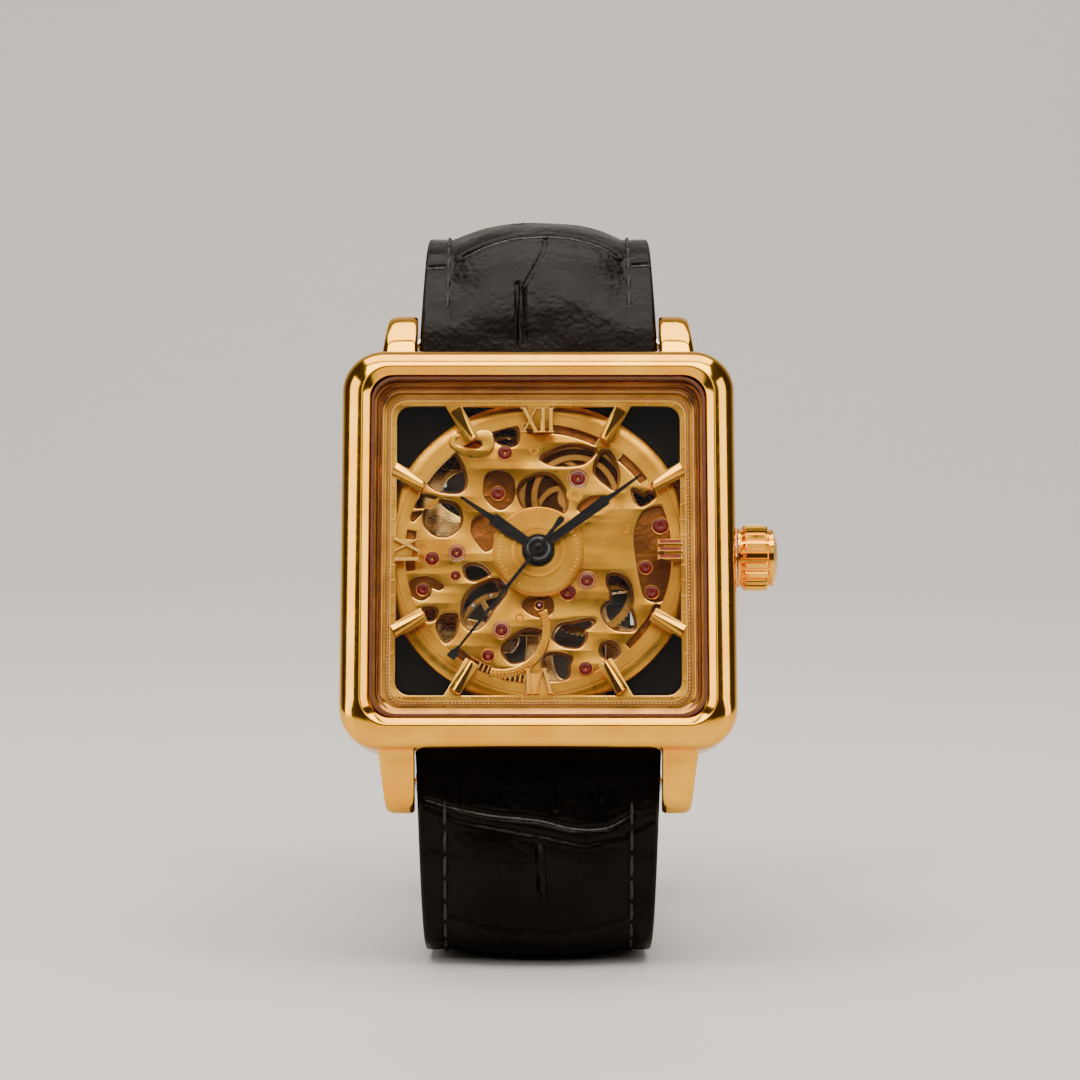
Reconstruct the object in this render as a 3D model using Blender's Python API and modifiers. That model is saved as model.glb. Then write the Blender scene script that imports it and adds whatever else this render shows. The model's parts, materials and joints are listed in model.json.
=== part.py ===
"""Skeleton wristwatch on a buckled leather strap, standing on the flat bottom of the strap's loop.

World frame: metres, +Z up, +X towards the crown, the dial faces -Y and leans back. The origin is the
centre of the flat face under the strap that the watch rests on. All numbers below are millimetres.
"head" is the watch's own frame: x towards 3 o'clock, y towards 12 o'clock, z out of the dial, with
z = 0 at the front of the main plate and the hands' axis at x = y = 0.
"""

import math

import bmesh
import bpy
from mathutils import Matrix, Vector

MM = 0.001

# Head: place, lean, and half sizes of its squares as (x, y, corner radius)
LEAN_DEG = 18.5
HEAD_Y = -8.0
HEAD_Z = 40.5
CASE_HALF = (19.3, 19.95, 4.1)
OPENING_HALF = (16.45, 17.15, 2.6)
BEAD_HALF = (15.1, 15.7, 1.6)
WINDOW_HALF = (13.9, 14.5)
CASE_TOP = 0.8
CASE_BOTTOM = -3.2
BACK_BOTTOM = -6.0
SCREW_AT = (15.6, 16.2)
GAP = 0.05

# Lugs and strap
LUG_INNER = 12.05
LUG_OUTER = 15.6
LUG_TIP = 25.2
SPRING_BAR_Y = 22.2
SPRING_BAR_Z = -3.5
BAR_RADIUS = 0.85
STRAP_END_WIDTH = 23.8
STRAP_TAIL_WIDTH = 20.0
STRAP_END_THICKNESS = 3.4
STRAP_THICKNESS = 2.2
WRIST_SIDE = {"strap_buckle_side": -1, "strap_tail_side": 1}

# Back of the loop, in world millimetres: the strap's straight stretch and the buckle on it
BACK_Y = 37.2
BUCKLE_Z = 28.0
BUCKLE_LENGTH = 9.0
BUCKLE_BAR_Y = BACK_Y - STRAP_THICKNESS / 2

# Movement: plate radius, bearings (x, y), wheel levels (front z, back z)
PLATE_RADIUS = 15.4
PLATE = (0.0, -0.9)
BRIDGE = (-4.0, -4.8)
CENTER = (0.0, 0.0)
BARREL_AT = (3.6, 5.9)
THIRD_AT = (4.77, -2.79)
ESCAPE_AT = (0.09, -5.2)
BALANCE_AT = (-3.6, -7.73)
PALLET_AT = (-1.85, -6.53)
CROWN_WHEEL_AT = (7.3, 0.0)
CLICK_AT = (-0.64, 8.35)
MINUTE_WHEEL_AT = (-1.56, 1.56)
STEM_Z = -2.2
BARREL_LEVEL = (-1.0, -2.6)
CENTER_LEVEL = (-2.7, -2.9)
THIRD_LEVEL = (-3.0, -3.2)
FOURTH_LEVEL = (-3.3, -3.45)
WINDING_LEVEL = (-3.6, -3.85)
ESCAPE_LEVEL = (-1.12, -1.3)

# Teeth
BARREL_TEETH = 72
CENTER_PINION = 12
CENTER_TEETH = 64
THIRD_PINION = 8
THIRD_TEETH = 60
FOURTH_PINION = 8
FOURTH_TEETH = 80
ESCAPE_PINION = 8
ESCAPE_TEETH = 15
RATCHET_TEETH = 42
CROWN_TEETH = 36
CANNON_TEETH = 10
MINUTE_TEETH = 30
MINUTE_PINION = 8
HOUR_TEETH = 32

# Time shown at rest, as clockwise angles from 12 o'clock
HOUR_ANGLE = 305.0
MINUTE_ANGLE = 53.6
SECOND_ANGLE = 217.9

for old in list(bpy.data.objects):
    bpy.data.objects.remove(old, do_unlink=True)

watch = bpy.data.collections.new("skeleton_wristwatch")
cutters = bpy.data.collections.new("cutters")
cutters.hide_render = True
bpy.context.scene.collection.children.link(watch)
bpy.context.scene.collection.children.link(cutters)

head = bpy.data.objects.new("head", None)
head.location = (0, HEAD_Y * MM, HEAD_Z * MM)
head.rotation_euler = (math.radians(90 - LEAN_DEG), 0, 0)
watch.objects.link(head)

loop = bpy.data.objects.new("loop", None)
watch.objects.link(loop)


def material(name, colour, roughness, metallic, alpha=1.0):
    made = bpy.data.materials.new(name)
    made.use_nodes = True
    shader = made.node_tree.nodes["Principled BSDF"]
    shader.inputs["Base Color"].default_value = (*colour, 1)
    shader.inputs["Roughness"].default_value = roughness
    shader.inputs["Metallic"].default_value = metallic
    shader.inputs["Alpha"].default_value = alpha
    made.diffuse_color = (*colour, alpha)
    made.metallic = metallic
    made.roughness = roughness
    return made


GOLD = material("polished_gold", (0.95, 0.62, 0.26), 0.12, 1.0)
SATIN = material("satin_gold", (0.85, 0.58, 0.28), 0.35, 1.0)
BRASS = material("brass", (0.78, 0.60, 0.33), 0.3, 1.0)
STEEL = material("steel", (0.62, 0.62, 0.64), 0.25, 1.0)
BLACK = material("black_polish", (0.01, 0.01, 0.012), 0.1, 0.4)
SPRING = material("blued_spring", (0.12, 0.14, 0.3), 0.3, 1.0)
GLASS = material("sapphire", (0.95, 0.97, 1.0), 0.02, 0.0, 0.2)
RUBBER = material("gasket", (0.02, 0.02, 0.02), 0.6, 0.0)
LEATHER = material("black_leather", (0.012, 0.012, 0.013), 0.4, 0.0)


def scaled(points):
    return [Vector(p) * MM for p in points]


def polar(radius, degrees, at=CENTER):
    """A point at this radius, counter-clockwise from +x."""
    turn = math.radians(degrees)
    return (at[0] + radius * math.cos(turn), at[1] + radius * math.sin(turn))


def arc(radius, start, end, steps, at=CENTER):
    return [polar(radius, start + (end - start) * i / steps, at) for i in range(steps + 1)]


def circle(radius, sides, at=CENTER):
    return arc(radius, 0, 360, sides, at)[:-1]


def rounded_rectangle(half, steps=4):
    """Outline of a rectangle given as (half x, half y, corner radius)."""
    x = half[0] - half[2]
    y = half[1] - half[2]
    corners = [(x, y, 0), (-x, y, 90), (-x, -y, 180), (x, -y, 270)]
    points = []
    for cx, cy, start in corners:
        points += arc(half[2], start, start + 90, steps, (cx, cy))
    return points


def smooth_closed(points, steps=2):
    """A closed outline that runs smoothly through the points."""
    count = len(points)
    made = []
    for i in range(count):
        around = [Vector(points[(i + k) % count]) for k in (-1, 0, 1, 2)]
        made += [catmull(around, k / steps) for k in range(steps)]
    return made


def catmull(around, t):
    before, start, end, after = around
    return 0.5 * (
        2 * start
        + (end - before) * t
        + (2 * before - 5 * start + 4 * end - after) * t * t
        + (3 * start - before - 3 * end + after) * t ** 3
    )


def smooth_route(points, steps):
    """An open route through the points, doubled at its two ends."""
    route = []
    padded = [points[0]] + points + [points[-1]]
    for i in range(len(points) - 1):
        around = [Vector(p) for p in padded[i:i + 4]]
        route += [catmull(around, k / steps) for k in range(steps)]
    return route + [Vector(points[-1])]


def add(name, data, look=None, place=(0, 0, 0), parent=head):
    obj = bpy.data.objects.new(name, data)
    obj.location = Vector(place) * MM
    obj.parent = parent
    if look:
        data.materials.append(look)
        watch.objects.link(obj)
    else:
        obj.display_type = "WIRE"
        obj.hide_render = True
        cutters.objects.link(obj)
    if obj.type == "MESH":
        data.shade_smooth()
        data.set_sharp_from_angle(angle=math.radians(35))
    return obj


def mesh_from(name, bm):
    bmesh.ops.recalc_face_normals(bm, faces=bm.faces)
    mesh = bpy.data.meshes.new(name)
    bm.to_mesh(mesh)
    bm.free()
    return mesh


def loft(name, rings, closed=False):
    """A mesh through rings of equally many 3-D points, capped at its ends or closed on itself."""
    bm = bmesh.new()
    rows = [[bm.verts.new(p) for p in scaled(ring)] for ring in rings]
    count = len(rows[0])
    pairs = list(zip(rows, rows[1:]))
    if closed:
        pairs.append((rows[-1], rows[0]))
    for low, high in pairs:
        for i in range(count):
            j = (i + 1) % count
            bm.faces.new((low[i], low[j], high[j], high[i]))
    if not closed:
        bm.faces.new(list(reversed(rows[0])))
        bm.faces.new(rows[-1])
    return mesh_from(name, bm)


def frame_loft(name, levels, closed=True, steps=4):
    """A loft of rounded rectangles, each given as (half, z)."""
    rings = [[(x, y, z) for x, y in rounded_rectangle(half, steps)] for half, z in levels]
    return loft(name, rings, closed)


def flat(name, outlines, front, back):
    """A flat solid between two z levels: the first outline is its edge and the others are holes."""
    curve = bpy.data.curves.new(name, "CURVE")
    curve.dimensions = "2D"
    curve.fill_mode = "BOTH"
    curve.extrude = abs(front - back) / 2 * MM
    for outline in outlines:
        spline = curve.splines.new("POLY")
        spline.points.add(len(outline) - 1)
        for point, (x, y) in zip(spline.points, outline):
            point.co = (x * MM, y * MM, 0, 1)
        spline.use_cyclic_u = True
    holder = bpy.data.objects.new(name, curve)
    bpy.context.scene.collection.objects.link(holder)
    graph = bpy.context.evaluated_depsgraph_get()
    mesh = bpy.data.meshes.new_from_object(holder.evaluated_get(graph))
    bpy.data.objects.remove(holder)
    bpy.data.curves.remove(curve)
    bm = bmesh.new()
    bm.from_mesh(mesh)
    bmesh.ops.remove_doubles(bm, verts=bm.verts, dist=1e-7)
    bmesh.ops.translate(bm, verts=bm.verts, vec=(0, 0, (front + back) / 2 * MM))
    bpy.data.meshes.remove(mesh)
    return mesh_from(name, bm)


def rod(name, radius, start, end, sides=12, axis="Z", at=(0, 0)):
    """A straight round rod along an axis, from start to end; at gives its other two coordinates."""
    bm = bmesh.new()
    bmesh.ops.create_cone(
        bm, cap_ends=True, segments=sides, radius1=radius * MM, radius2=radius * MM, depth=(end - start) * MM
    )
    middle = (start + end) / 2
    if axis == "X":
        turn = Matrix.Rotation(math.radians(90), 4, "Y")
        place = (middle, at[0], at[1])
    else:
        turn = Matrix.Identity(4)
        place = (at[0], at[1], middle)
    bmesh.ops.transform(bm, matrix=Matrix.Translation(Vector(place) * MM) @ turn, verts=bm.verts)
    return mesh_from(name, bm)


def box(name, low, high, turn_deg=0.0):
    """A box between two corners, turned about its own centre's z axis."""
    low = Vector(low)
    high = Vector(high)
    bm = bmesh.new()
    bmesh.ops.create_cube(bm, size=1.0)
    matrix = (
        Matrix.Translation((low + high) / 2 * MM)
        @ Matrix.Rotation(math.radians(turn_deg), 4, "Z")
        @ Matrix.Diagonal((*((high - low) * MM), 1))
    )
    bmesh.ops.transform(bm, matrix=matrix, verts=bm.verts)
    return mesh_from(name, bm)


def combine(obj, mesh, operation):
    """Joins a mesh to an object, or cuts it away; the mesh is in the object's own coordinates."""
    other = add(f"{obj.name}_{operation.lower()}_{len(obj.modifiers)}", mesh, None)
    other.parent = obj.parent
    other.location = obj.location
    other.rotation_euler = obj.rotation_euler
    modifier = obj.modifiers.new(operation.title(), "BOOLEAN")
    modifier.operation = operation
    modifier.solver = "EXACT"
    modifier.object = other


def join(obj, *meshes):
    for mesh in meshes:
        combine(obj, mesh, "UNION")


def cut(obj, *meshes):
    for mesh in meshes:
        combine(obj, mesh, "DIFFERENCE")


def turned(name, profile, look, sides, place=(0, 0, 0), parent=head, along_x=False):
    """A turned solid: the profile is (radius, height) pairs down its outer side, closed on itself."""
    mesh = bpy.data.meshes.new(name)
    points = [(r * MM, 0, z * MM) for r, z in profile]
    count = len(points)
    edges = [(i, (i + 1) % count) for i in range(count)]
    mesh.from_pydata(points, edges, [])
    obj = add(name, mesh, look, place, parent)
    screw = obj.modifiers.new("Screw", "SCREW")
    screw.steps = sides
    screw.render_steps = sides
    screw.use_merge_vertices = True
    screw.merge_threshold = 0.000001
    if along_x:
        obj.rotation_euler = (0, math.radians(90), 0)
    return obj


# ---------------------------------------------------------------- case


def case_middle():
    outer = (CASE_HALF[0] - 0.4, CASE_HALF[1] - 0.45, 3.8)
    inner = (16.2, 16.8, 5.0)
    bevel = (outer[0] - 0.2, outer[1] - 0.2, 3.6)
    levels = [
        (inner, CASE_BOTTOM),
        (bevel, CASE_BOTTOM),
        (outer, CASE_BOTTOM + 0.3),
        (outer, CASE_TOP - 0.3),
        (bevel, CASE_TOP),
        (inner, CASE_TOP),
    ]
    obj = add("case_middle", frame_loft("case_middle", levels), GOLD)
    for side_x in (-1, 1):
        for side_y in (-1, 1):
            join(obj, lug(side_x, side_y))
    join(obj, rod("crown_tube", 0.98, outer[0] - 1, outer[0] + 0.5, 14, "X", (0, STEM_Z)))
    cut(obj, rod("stem_hole", 0.75, 15, 20, 12, "X", (0, STEM_Z)))
    for side_x in (-1, 1):
        for side_y in (-1, 1):
            hole = sorted((side_x * (LUG_INNER - 0.5), side_x * (LUG_INNER + 1.6)))
            cut(obj, rod("bar_hole", 0.5, *hole, 10, "X", (side_y * SPRING_BAR_Y, SPRING_BAR_Z)))
            cut(obj, rod("screw_hole", 0.5, -4, -1.8, 8, "Z", (side_x * SCREW_AT[0], side_y * SCREW_AT[1])))


def lug(side_x, side_y):
    """One lug: a side profile that curves down to its tip, narrower towards the tip."""
    base = CASE_HALF[1] - 1.2
    profile = [
        (base, 0.7), (base + 1.6, 0.55), (base + 3.2, 0.0), (base + 4.7, -0.95), (LUG_TIP - 0.6, -2.1),
        (LUG_TIP, -3.4), (LUG_TIP - 0.15, -4.6), (LUG_TIP - 1.0, -5.2), (LUG_TIP - 3.0, -5.3),
        (LUG_TIP - 5.0, -4.1), (base + 0.8, -3.1), (base, -3.0),
    ]
    centre = (sum(y for y, _ in profile) / len(profile), sum(z for _, z in profile) / len(profile))
    rings = []
    for depth, shrink in ((0.0, 0.93), (0.2, 1.0), (0.8, 1.0), (1.0, 0.86)):
        ring = []
        for y, z in profile:
            outer = LUG_OUTER - 0.7 * (y - base) / (LUG_TIP - base)
            x = LUG_INNER + (outer - LUG_INNER) * depth
            y = centre[0] + (y - centre[0]) * shrink
            z = centre[1] + (z - centre[1]) * shrink
            ring.append((side_x * x, side_y * y, z))
        rings.append(ring)
    return loft("lug", rings)


def bezel():
    x, y, r = CASE_HALF
    ox, oy, orad = OPENING_HALF
    levels = [
        ((ox, oy, orad), CASE_TOP + 2 * GAP),
        ((x - 0.45, y - 0.45, r - 0.3), CASE_TOP + 2 * GAP),
        ((x - 0.05, y - 0.05, r), CASE_TOP + 0.5),
        ((x, y, r), CASE_TOP + 1.1),
        ((x - 0.1, y - 0.1, r), CASE_TOP + 1.8),
        ((x - 0.5, y - 0.5, r - 0.3), CASE_TOP + 2.55),
        ((x - 1.1, y - 1.1, r - 0.7), CASE_TOP + 3.05),
        ((x - 1.8, y - 1.8, r - 1.1), CASE_TOP + 3.28),
        ((x - 2.35, y - 2.35, r - 1.3), CASE_TOP + 3.25),
        ((ox, oy, orad), CASE_TOP + 2.95),
    ]
    add("bezel", frame_loft("bezel", levels, steps=6), GOLD)


def crystal_and_gasket():
    top = 3.65
    bottom = 2.75
    glass = (OPENING_HALF[0] - 0.4, OPENING_HALF[1] - 0.4, 2.2)
    chamfered = (glass[0] - 0.2, glass[1] - 0.2, 2.0)
    levels = [(glass, bottom), (glass, top - 0.15), (chamfered, top)]
    add("crystal", frame_loft("crystal", levels, closed=False), GLASS)
    inner = (glass[0] + 0.04, glass[1] + 0.04, 2.24)
    outer = (OPENING_HALF[0] - 0.04, OPENING_HALF[1] - 0.04, 2.56)
    levels = [(inner, bottom), (outer, bottom), (outer, top - 0.2), (inner, top - 0.2)]
    add("crystal_gasket", frame_loft("crystal_gasket", levels), RUBBER)


def flange_ring():
    """The stepped ring between the glass and the dial frame."""
    x, y, r = OPENING_HALF
    bx, by, br = BEAD_HALF
    levels = [
        ((bx, by, br), 1.3),
        ((x - 0.08, y - 0.08, r), 1.3),
        ((x - 0.08, y - 0.08, r), 2.7),
        ((bx + 0.85, by + 0.9, br + 0.7), 2.7),
        ((bx + 0.7, by + 0.7, br + 0.6), 2.25),
        ((bx + 0.3, by + 0.3, br + 0.3), 2.1),
        ((bx, by, br), 1.6),
    ]
    add("flange_ring", frame_loft("flange_ring", levels), GOLD)


def hour_direction(hour):
    turn = math.radians(hour * 30)
    return Vector((math.sin(turn), math.cos(turn)))


def dial_frame():
    """The square chapter frame: a window with a tab at each hour, and round corners between them."""
    window = []
    for hour in range(1, 13):
        wide = hour % 3 == 0
        half_width = 1.1 if wide else 0.75
        tab_end = 12.3 if wide else 12.8
        out = hour_direction(hour)
        across = Vector((out.y, -out.x))
        for side, end in ((-1, False), (-1, True), (1, True), (1, False)):
            start = across * half_width * side
            if end:
                reach = tab_end
            else:
                to_x = (WINDOW_HALF[0] - start.x * math.copysign(1, out.x)) / max(abs(out.x), 1e-9)
                to_y = (WINDOW_HALF[1] - start.y * math.copysign(1, out.y)) / max(abs(out.y), 1e-9)
                reach = min(to_x, to_y)
            window.append(tuple(start + out * reach))
        if hour % 3 == 1:
            toward = hour_direction(hour + 0.5)
            corner_x = math.copysign(WINDOW_HALF[0] - 1.6, toward.x)
            corner_y = math.copysign(WINDOW_HALF[1] - 1.6, toward.y)
            middle = {1: 45, 4: -45, 7: -135, 10: 135}[hour]
            window += arc(1.6, middle + 45, middle - 45, 3, (corner_x, corner_y))
    outer = rounded_rectangle((OPENING_HALF[0] - 0.12, OPENING_HALF[1] - 0.12, 2.4), 3)
    add("dial_frame", flat("dial_frame", [outer, window], 1.25, 0.85), SATIN)


def hour_marker(hour):
    """A ridged wedge, wider at its outer end, standing on the dial frame."""
    out = hour_direction(hour)
    across = Vector((out.y, -out.x))
    rings = []
    for reach, half_width in ((12.95, 0.18), (16.4, 0.38)):
        section = [(-1.0, 1.28), (1.0, 1.28), (1.0, 1.5), (0.0, 1.74), (-1.0, 1.5)]
        ring = []
        for side, z in section:
            at = out * reach + across * half_width * side
            ring.append((at.x, at.y, z))
        rings.append(ring)
    add(f"hour_marker_{hour}", loft("hour_marker", rings), GOLD)


def numeral(hour, strokes, half_width, centre_radius):
    """A Roman numeral: leaning strokes (x, lean) between two serif bars, its foot towards the centre."""
    turn = -hour * 30
    at = hour_direction(hour) * centre_radius
    half_height = 1.2
    name = f"numeral_{hour}"
    low = (-half_width, -half_height, 1.28)
    high = (half_width, -half_height + 0.3, 1.52)
    obj = add(name, box(name, low, high), GOLD, (at.x, at.y, 0))
    obj.rotation_euler = (0, 0, math.radians(turn))
    low = (-half_width, half_height - 0.3, 1.28)
    high = (half_width, half_height, 1.52)
    join(obj, box("serif", low, high))
    for x, lean in strokes:
        length = 2 * (half_height - 0.12) / math.cos(math.radians(lean))
        low = (x - 0.19, -length / 2, 1.3)
        high = (x + 0.19, length / 2, 1.7)
        join(obj, box("stroke", low, high, lean))


def case_back():
    x, y, r = CASE_HALF
    top = CASE_BOTTOM - GAP
    glass = 13.0

    def ring(radius, z):
        return ((radius, radius, radius - 0.001), z)

    levels = [
        ring(15.1, top),
        ((x - 0.7, y - 0.75, 3.7), top),
        ((x - 0.7, y - 0.75, 3.7), top - 1.3),
        ((x - 1.2, y - 1.25, 3.4), top - 2.2),
        ((x - 1.9, y - 1.95, 3.1), BACK_BOTTOM),
        ring(glass, BACK_BOTTOM),
        ring(glass, BACK_BOTTOM + 0.3),
        ring(glass + 1.05, BACK_BOTTOM + 0.3),
        ring(glass + 1.05, -4.93),
        ring(15.1, -4.88),
    ]
    obj = add("case_back", frame_loft("case_back", levels, steps=5), GOLD)
    for index, (side_x, side_y) in enumerate(((1, 1), (-1, 1), (-1, -1), (1, -1)), 1):
        at = (side_x * SCREW_AT[0], side_y * SCREW_AT[1])
        cut(obj, rod("screw_head_hole", 0.92, BACK_BOTTOM - 1, BACK_BOTTOM + 0.6, 12, "Z", at))
        cut(obj, rod("screw_shank_hole", 0.5, -5.6, -3, 8, "Z", at))
        case_back_screw(index, at)
    disc = [(0, -4.98), (13.7, -4.98), (13.7, -5.66), (0, -5.66)]
    turned("back_crystal", disc, GLASS, 28)


def case_back_screw(index, at):
    name = f"case_back_screw_{index}"
    obj = add(name, rod(name, 0.82, BACK_BOTTOM + 0.08, BACK_BOTTOM + 0.55, 12), GOLD, (*at, 0))
    join(obj, rod("shank", 0.42, BACK_BOTTOM + 0.4, -2.1, 8))
    cut(obj, box("slot", (-1, -0.11, BACK_BOTTOM - 0.2), (1, 0.11, BACK_BOTTOM + 0.28)))


def movement_holder():
    outer = rounded_rectangle((16.1, 16.7, 4.95), 4)
    inner = circle(14.6, 40)
    obj = add("movement_holder", flat("movement_holder", [outer, inner], -0.95, -3.15), BLACK)
    cut(obj, rod("stem_way", 0.8, 13, 17, 12, "X", (0, STEM_Z)))


# ---------------------------------------------------------------- movement


def gear_outline(teeth, radius, height, phase=0.0):
    """A toothed edge with pointed teeth, half of the height outside the pitch radius."""
    points = []
    for i in range(teeth):
        turn = 360 * (i + phase) / teeth
        points.append(polar(radius - height / 2, turn - 90 / teeth))
        points.append(polar(radius + height / 2, turn + 90 / teeth))
    return points


def spoke_windows(count, inner, outer, spoke, steps=3):
    """Windows between the spokes of a wheel; spoke is the width of each spoke."""
    windows = []
    for i in range(count):
        middle = 360 * (i + 0.5) / count
        half = 180 / count
        near = half - math.degrees(spoke / 2 / inner)
        far = half - math.degrees(spoke / 2 / outer)
        window = arc(outer, middle - far, middle + far, steps)
        window += arc(inner, middle + near, middle - near, 1)
        windows.append(window)
    return windows


def wheel(name, at, level, outline, windows, look, parts):
    """A flat wheel with windows, joined to rods and pinions on its arbor."""
    obj = add(name, flat(name, [outline] + windows, *level), look, (*at, 0))
    join(obj, *parts)
    return obj


def pinion(teeth, radius, front, back):
    return flat("pinion", [gear_outline(teeth, radius, radius * 0.2)], front, back)


def pitch(teeth, mate, gap):
    """Pitch radius of a wheel that meshes with its mate at this distance between centres."""
    return gap * teeth / (teeth + mate)


def distance(a, b):
    return math.hypot(a[0] - b[0], a[1] - b[1])


def main_plate():
    """The skeletonised main plate: cut-outs between the bearings, and the bearings' own holes."""
    leaves = [
        [(-9.5, 9.2), (-11.3, 7.1), (-8.2, 6.1), (-7.1, 7.5), (-7.9, 9.3)],
        [(-5.2, 7.2), (-6.1, 5.2), (-3.9, 3.9), (-2.6, 5.6), (-3.6, 7.6)],
        [(-1.3, 7.2), (-1.5, 5.0), (0.6, 4.1), (2.2, 4.6), (0.5, 6.2)],
        [(1.0, 11.2), (1.2, 9.4), (3.4, 8.5), (4.2, 9.6), (3.0, 11.4)],
        [(5.5, 9.6), (5.9, 7.8), (7.9, 6.6), (8.6, 7.6), (7.2, 9.6)],
        [(8.8, 6.0), (9.1, 4.6), (11.0, 4.4), (11.6, 5.6), (10.2, 6.6)],
        [(-6.9, -3.4), (-5.2, -3.0), (-3.4, -3.9), (-4.2, -5.6), (-6.5, -6.2)],
        [(-8.3, -1.0), (-6.3, -0.6), (-4.9, -1.6), (-6.2, -2.4), (-7.9, -2.2)],
        [(-1.2, -3.7), (-2.7, -4.9), (-1.0, -5.0)],
        [(-9.9, -6.6), (-8.4, -6.1), (-7.2, -7.9), (-8.2, -9.6), (-10.0, -8.4)],
        [(-3.2, -9.6), (-1.3, -8.3), (0.1, -9.6), (-0.6, -11.2), (-2.8, -11.2)],
        [(0.9, -12.4), (0.9, -11.0), (2.6, -10.8), (3.0, -12.2)],
        [(6.0, -5.3), (7.2, -2.6), (8.4, -4.6), (9.4, -6.2), (7.6, -7.9)],
        [(2.0, -7.6), (4.2, -7.2), (4.9, -9.0), (3.4, -9.9), (1.9, -9.0)],
    ]
    rounds = [((-9.4, 3.45), 1.9), ((7.0, -9.9), 0.95), ((-11.9, 5.1), 0.6), ((12.3, 0.6), 0.7)]
    holes = [smooth_closed(leaf) for leaf in leaves]
    holes += [circle(radius, 14, at) for at, radius in rounds]
    holes.append(circle(0.42, 12, CENTER))
    for at in (BARREL_AT, THIRD_AT, ESCAPE_AT, BALANCE_AT, PALLET_AT, MINUTE_WHEEL_AT):
        holes.append(circle(bearing_hole(at), 10, at))
    edge = circle(PLATE_RADIUS, 72)
    add("main_plate", flat("main_plate", [edge] + holes, *PLATE), SATIN)


def bearing_hole(at):
    return 0.68 if at == BARREL_AT else 0.24


def pillar(at):
    return rod("pillar", 0.75, BRIDGE[0] - 0.4, PLATE[1] - 0.04, 10, "Z", at)


def barrel_bridge():
    edge = arc(14.5, 1, 173, 22)
    lower = [(-10.0, 1.9), (-3.2, 2.9), (0.0, 1.6), (4.0, 1.3), (5.9, -0.8), (7.3, -1.3), (9.0, -0.8), (12.0, 0.0)]
    holes = [
        circle(0.68, 10, BARREL_AT),
        circle(0.42, 10, CROWN_WHEEL_AT),
        circle(0.24, 8, CLICK_AT),
        smooth_closed([(-3.2, 5.2), (-6.8, 4.4), (-9.8, 6.2), (-8.4, 9.0), (-4.6, 8.8)]),
        smooth_closed([(-3.6, 10.4), (-6.4, 10.8), (-5.4, 12.2), (-2.8, 12.6)]),
    ]
    for start in (100, 190, 280, 10):
        sector = arc(3.4, start, start + 62, 4, BARREL_AT) + arc(1.6, start + 56, start + 6, 2, BARREL_AT)
        holes.append(sector)
    obj = add("barrel_bridge", flat("barrel_bridge", [edge + lower] + holes, *BRIDGE), SATIN)
    join(obj, pillar(polar(13.5, 36)), pillar(polar(13.5, 95)), pillar(polar(13.5, 160)))


def train_bridge():
    edge = arc(14.5, -2, -97, 14)
    inner = [(-1.2, -8.6), (-1.15, -4.4), (-2.6, -3.0), (-2.6, 1.0), (0.0, 1.25), (3.6, 1.0)]
    inner += [(5.4, -1.1), (7.2, -1.75), (9.3, -1.25), (12.2, -0.45)]
    holes = [
        circle(0.17, 8, CENTER),
        circle(0.24, 8, THIRD_AT),
        circle(0.24, 8, ESCAPE_AT),
        smooth_closed([(7.2, -3.2), (7.0, -5.8), (10.0, -6.6), (11.4, -3.6)]),
        smooth_closed([(1.6, -7.2), (4.6, -5.6), (6.6, -8.4), (5.6, -11.6), (2.0, -11.6)]),
        smooth_closed([(0.6, -1.4), (2.9, -2.1), (2.2, -4.0), (0.2, -3.6)]),
    ]
    obj = add("train_bridge", flat("train_bridge", [edge + inner] + holes, *BRIDGE), SATIN)
    join(obj, pillar(polar(13.5, -12)), pillar(polar(13.5, -85)))


def balance_cock():
    """A foot at the plate's rim, and an arm to the balance's upper bearing."""
    edge = arc(14.5, 218, 192, 6) + [(-10.6, -4.2), (-7.4, -5.6)]
    edge += arc(1.7, 120, -60, 8, BALANCE_AT) + [(-7.0, -9.4)]
    obj = add("balance_cock", flat("balance_cock", [edge, circle(0.24, 8, BALANCE_AT)], *BRIDGE), SATIN)
    join(obj, pillar(polar(13.5, 200)), pillar(polar(13.5, 211)))


def barrel():
    """The toothed drum, open at the back, with the mainspring coiled inside it."""
    radius = pitch(BARREL_TEETH, CENTER_PINION, distance(BARREL_AT, CENTER))
    front, back = BARREL_LEVEL
    outline = gear_outline(BARREL_TEETH, radius, 0.11)
    obj = add("barrel", flat("barrel", [outline], -2.2, -2.45), BRASS, (*BARREL_AT, 0))
    join(obj, rod("drum", radius - 0.35, back, front, 30))
    cut(obj, rod("hollow", radius - 0.75, back - 1, front - 0.25, 30), rod("eye", 0.72, -5, 0, 12))
    turns = 4
    inner = 1.35
    outer = radius - 0.9
    band = 0.16
    steps = 12
    count = turns * steps
    side = []
    for offset in (band / 2, -band / 2):
        row = []
        for i in range(count + 1):
            row.append(polar(inner + (outer - inner) * i / count + offset, 360 * i / steps))
        side.append(row)
    spiral = side[0] + side[1][::-1]
    add("mainspring", flat("mainspring", [spiral], -1.4, -2.45), SPRING, (*BARREL_AT, 0))


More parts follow.
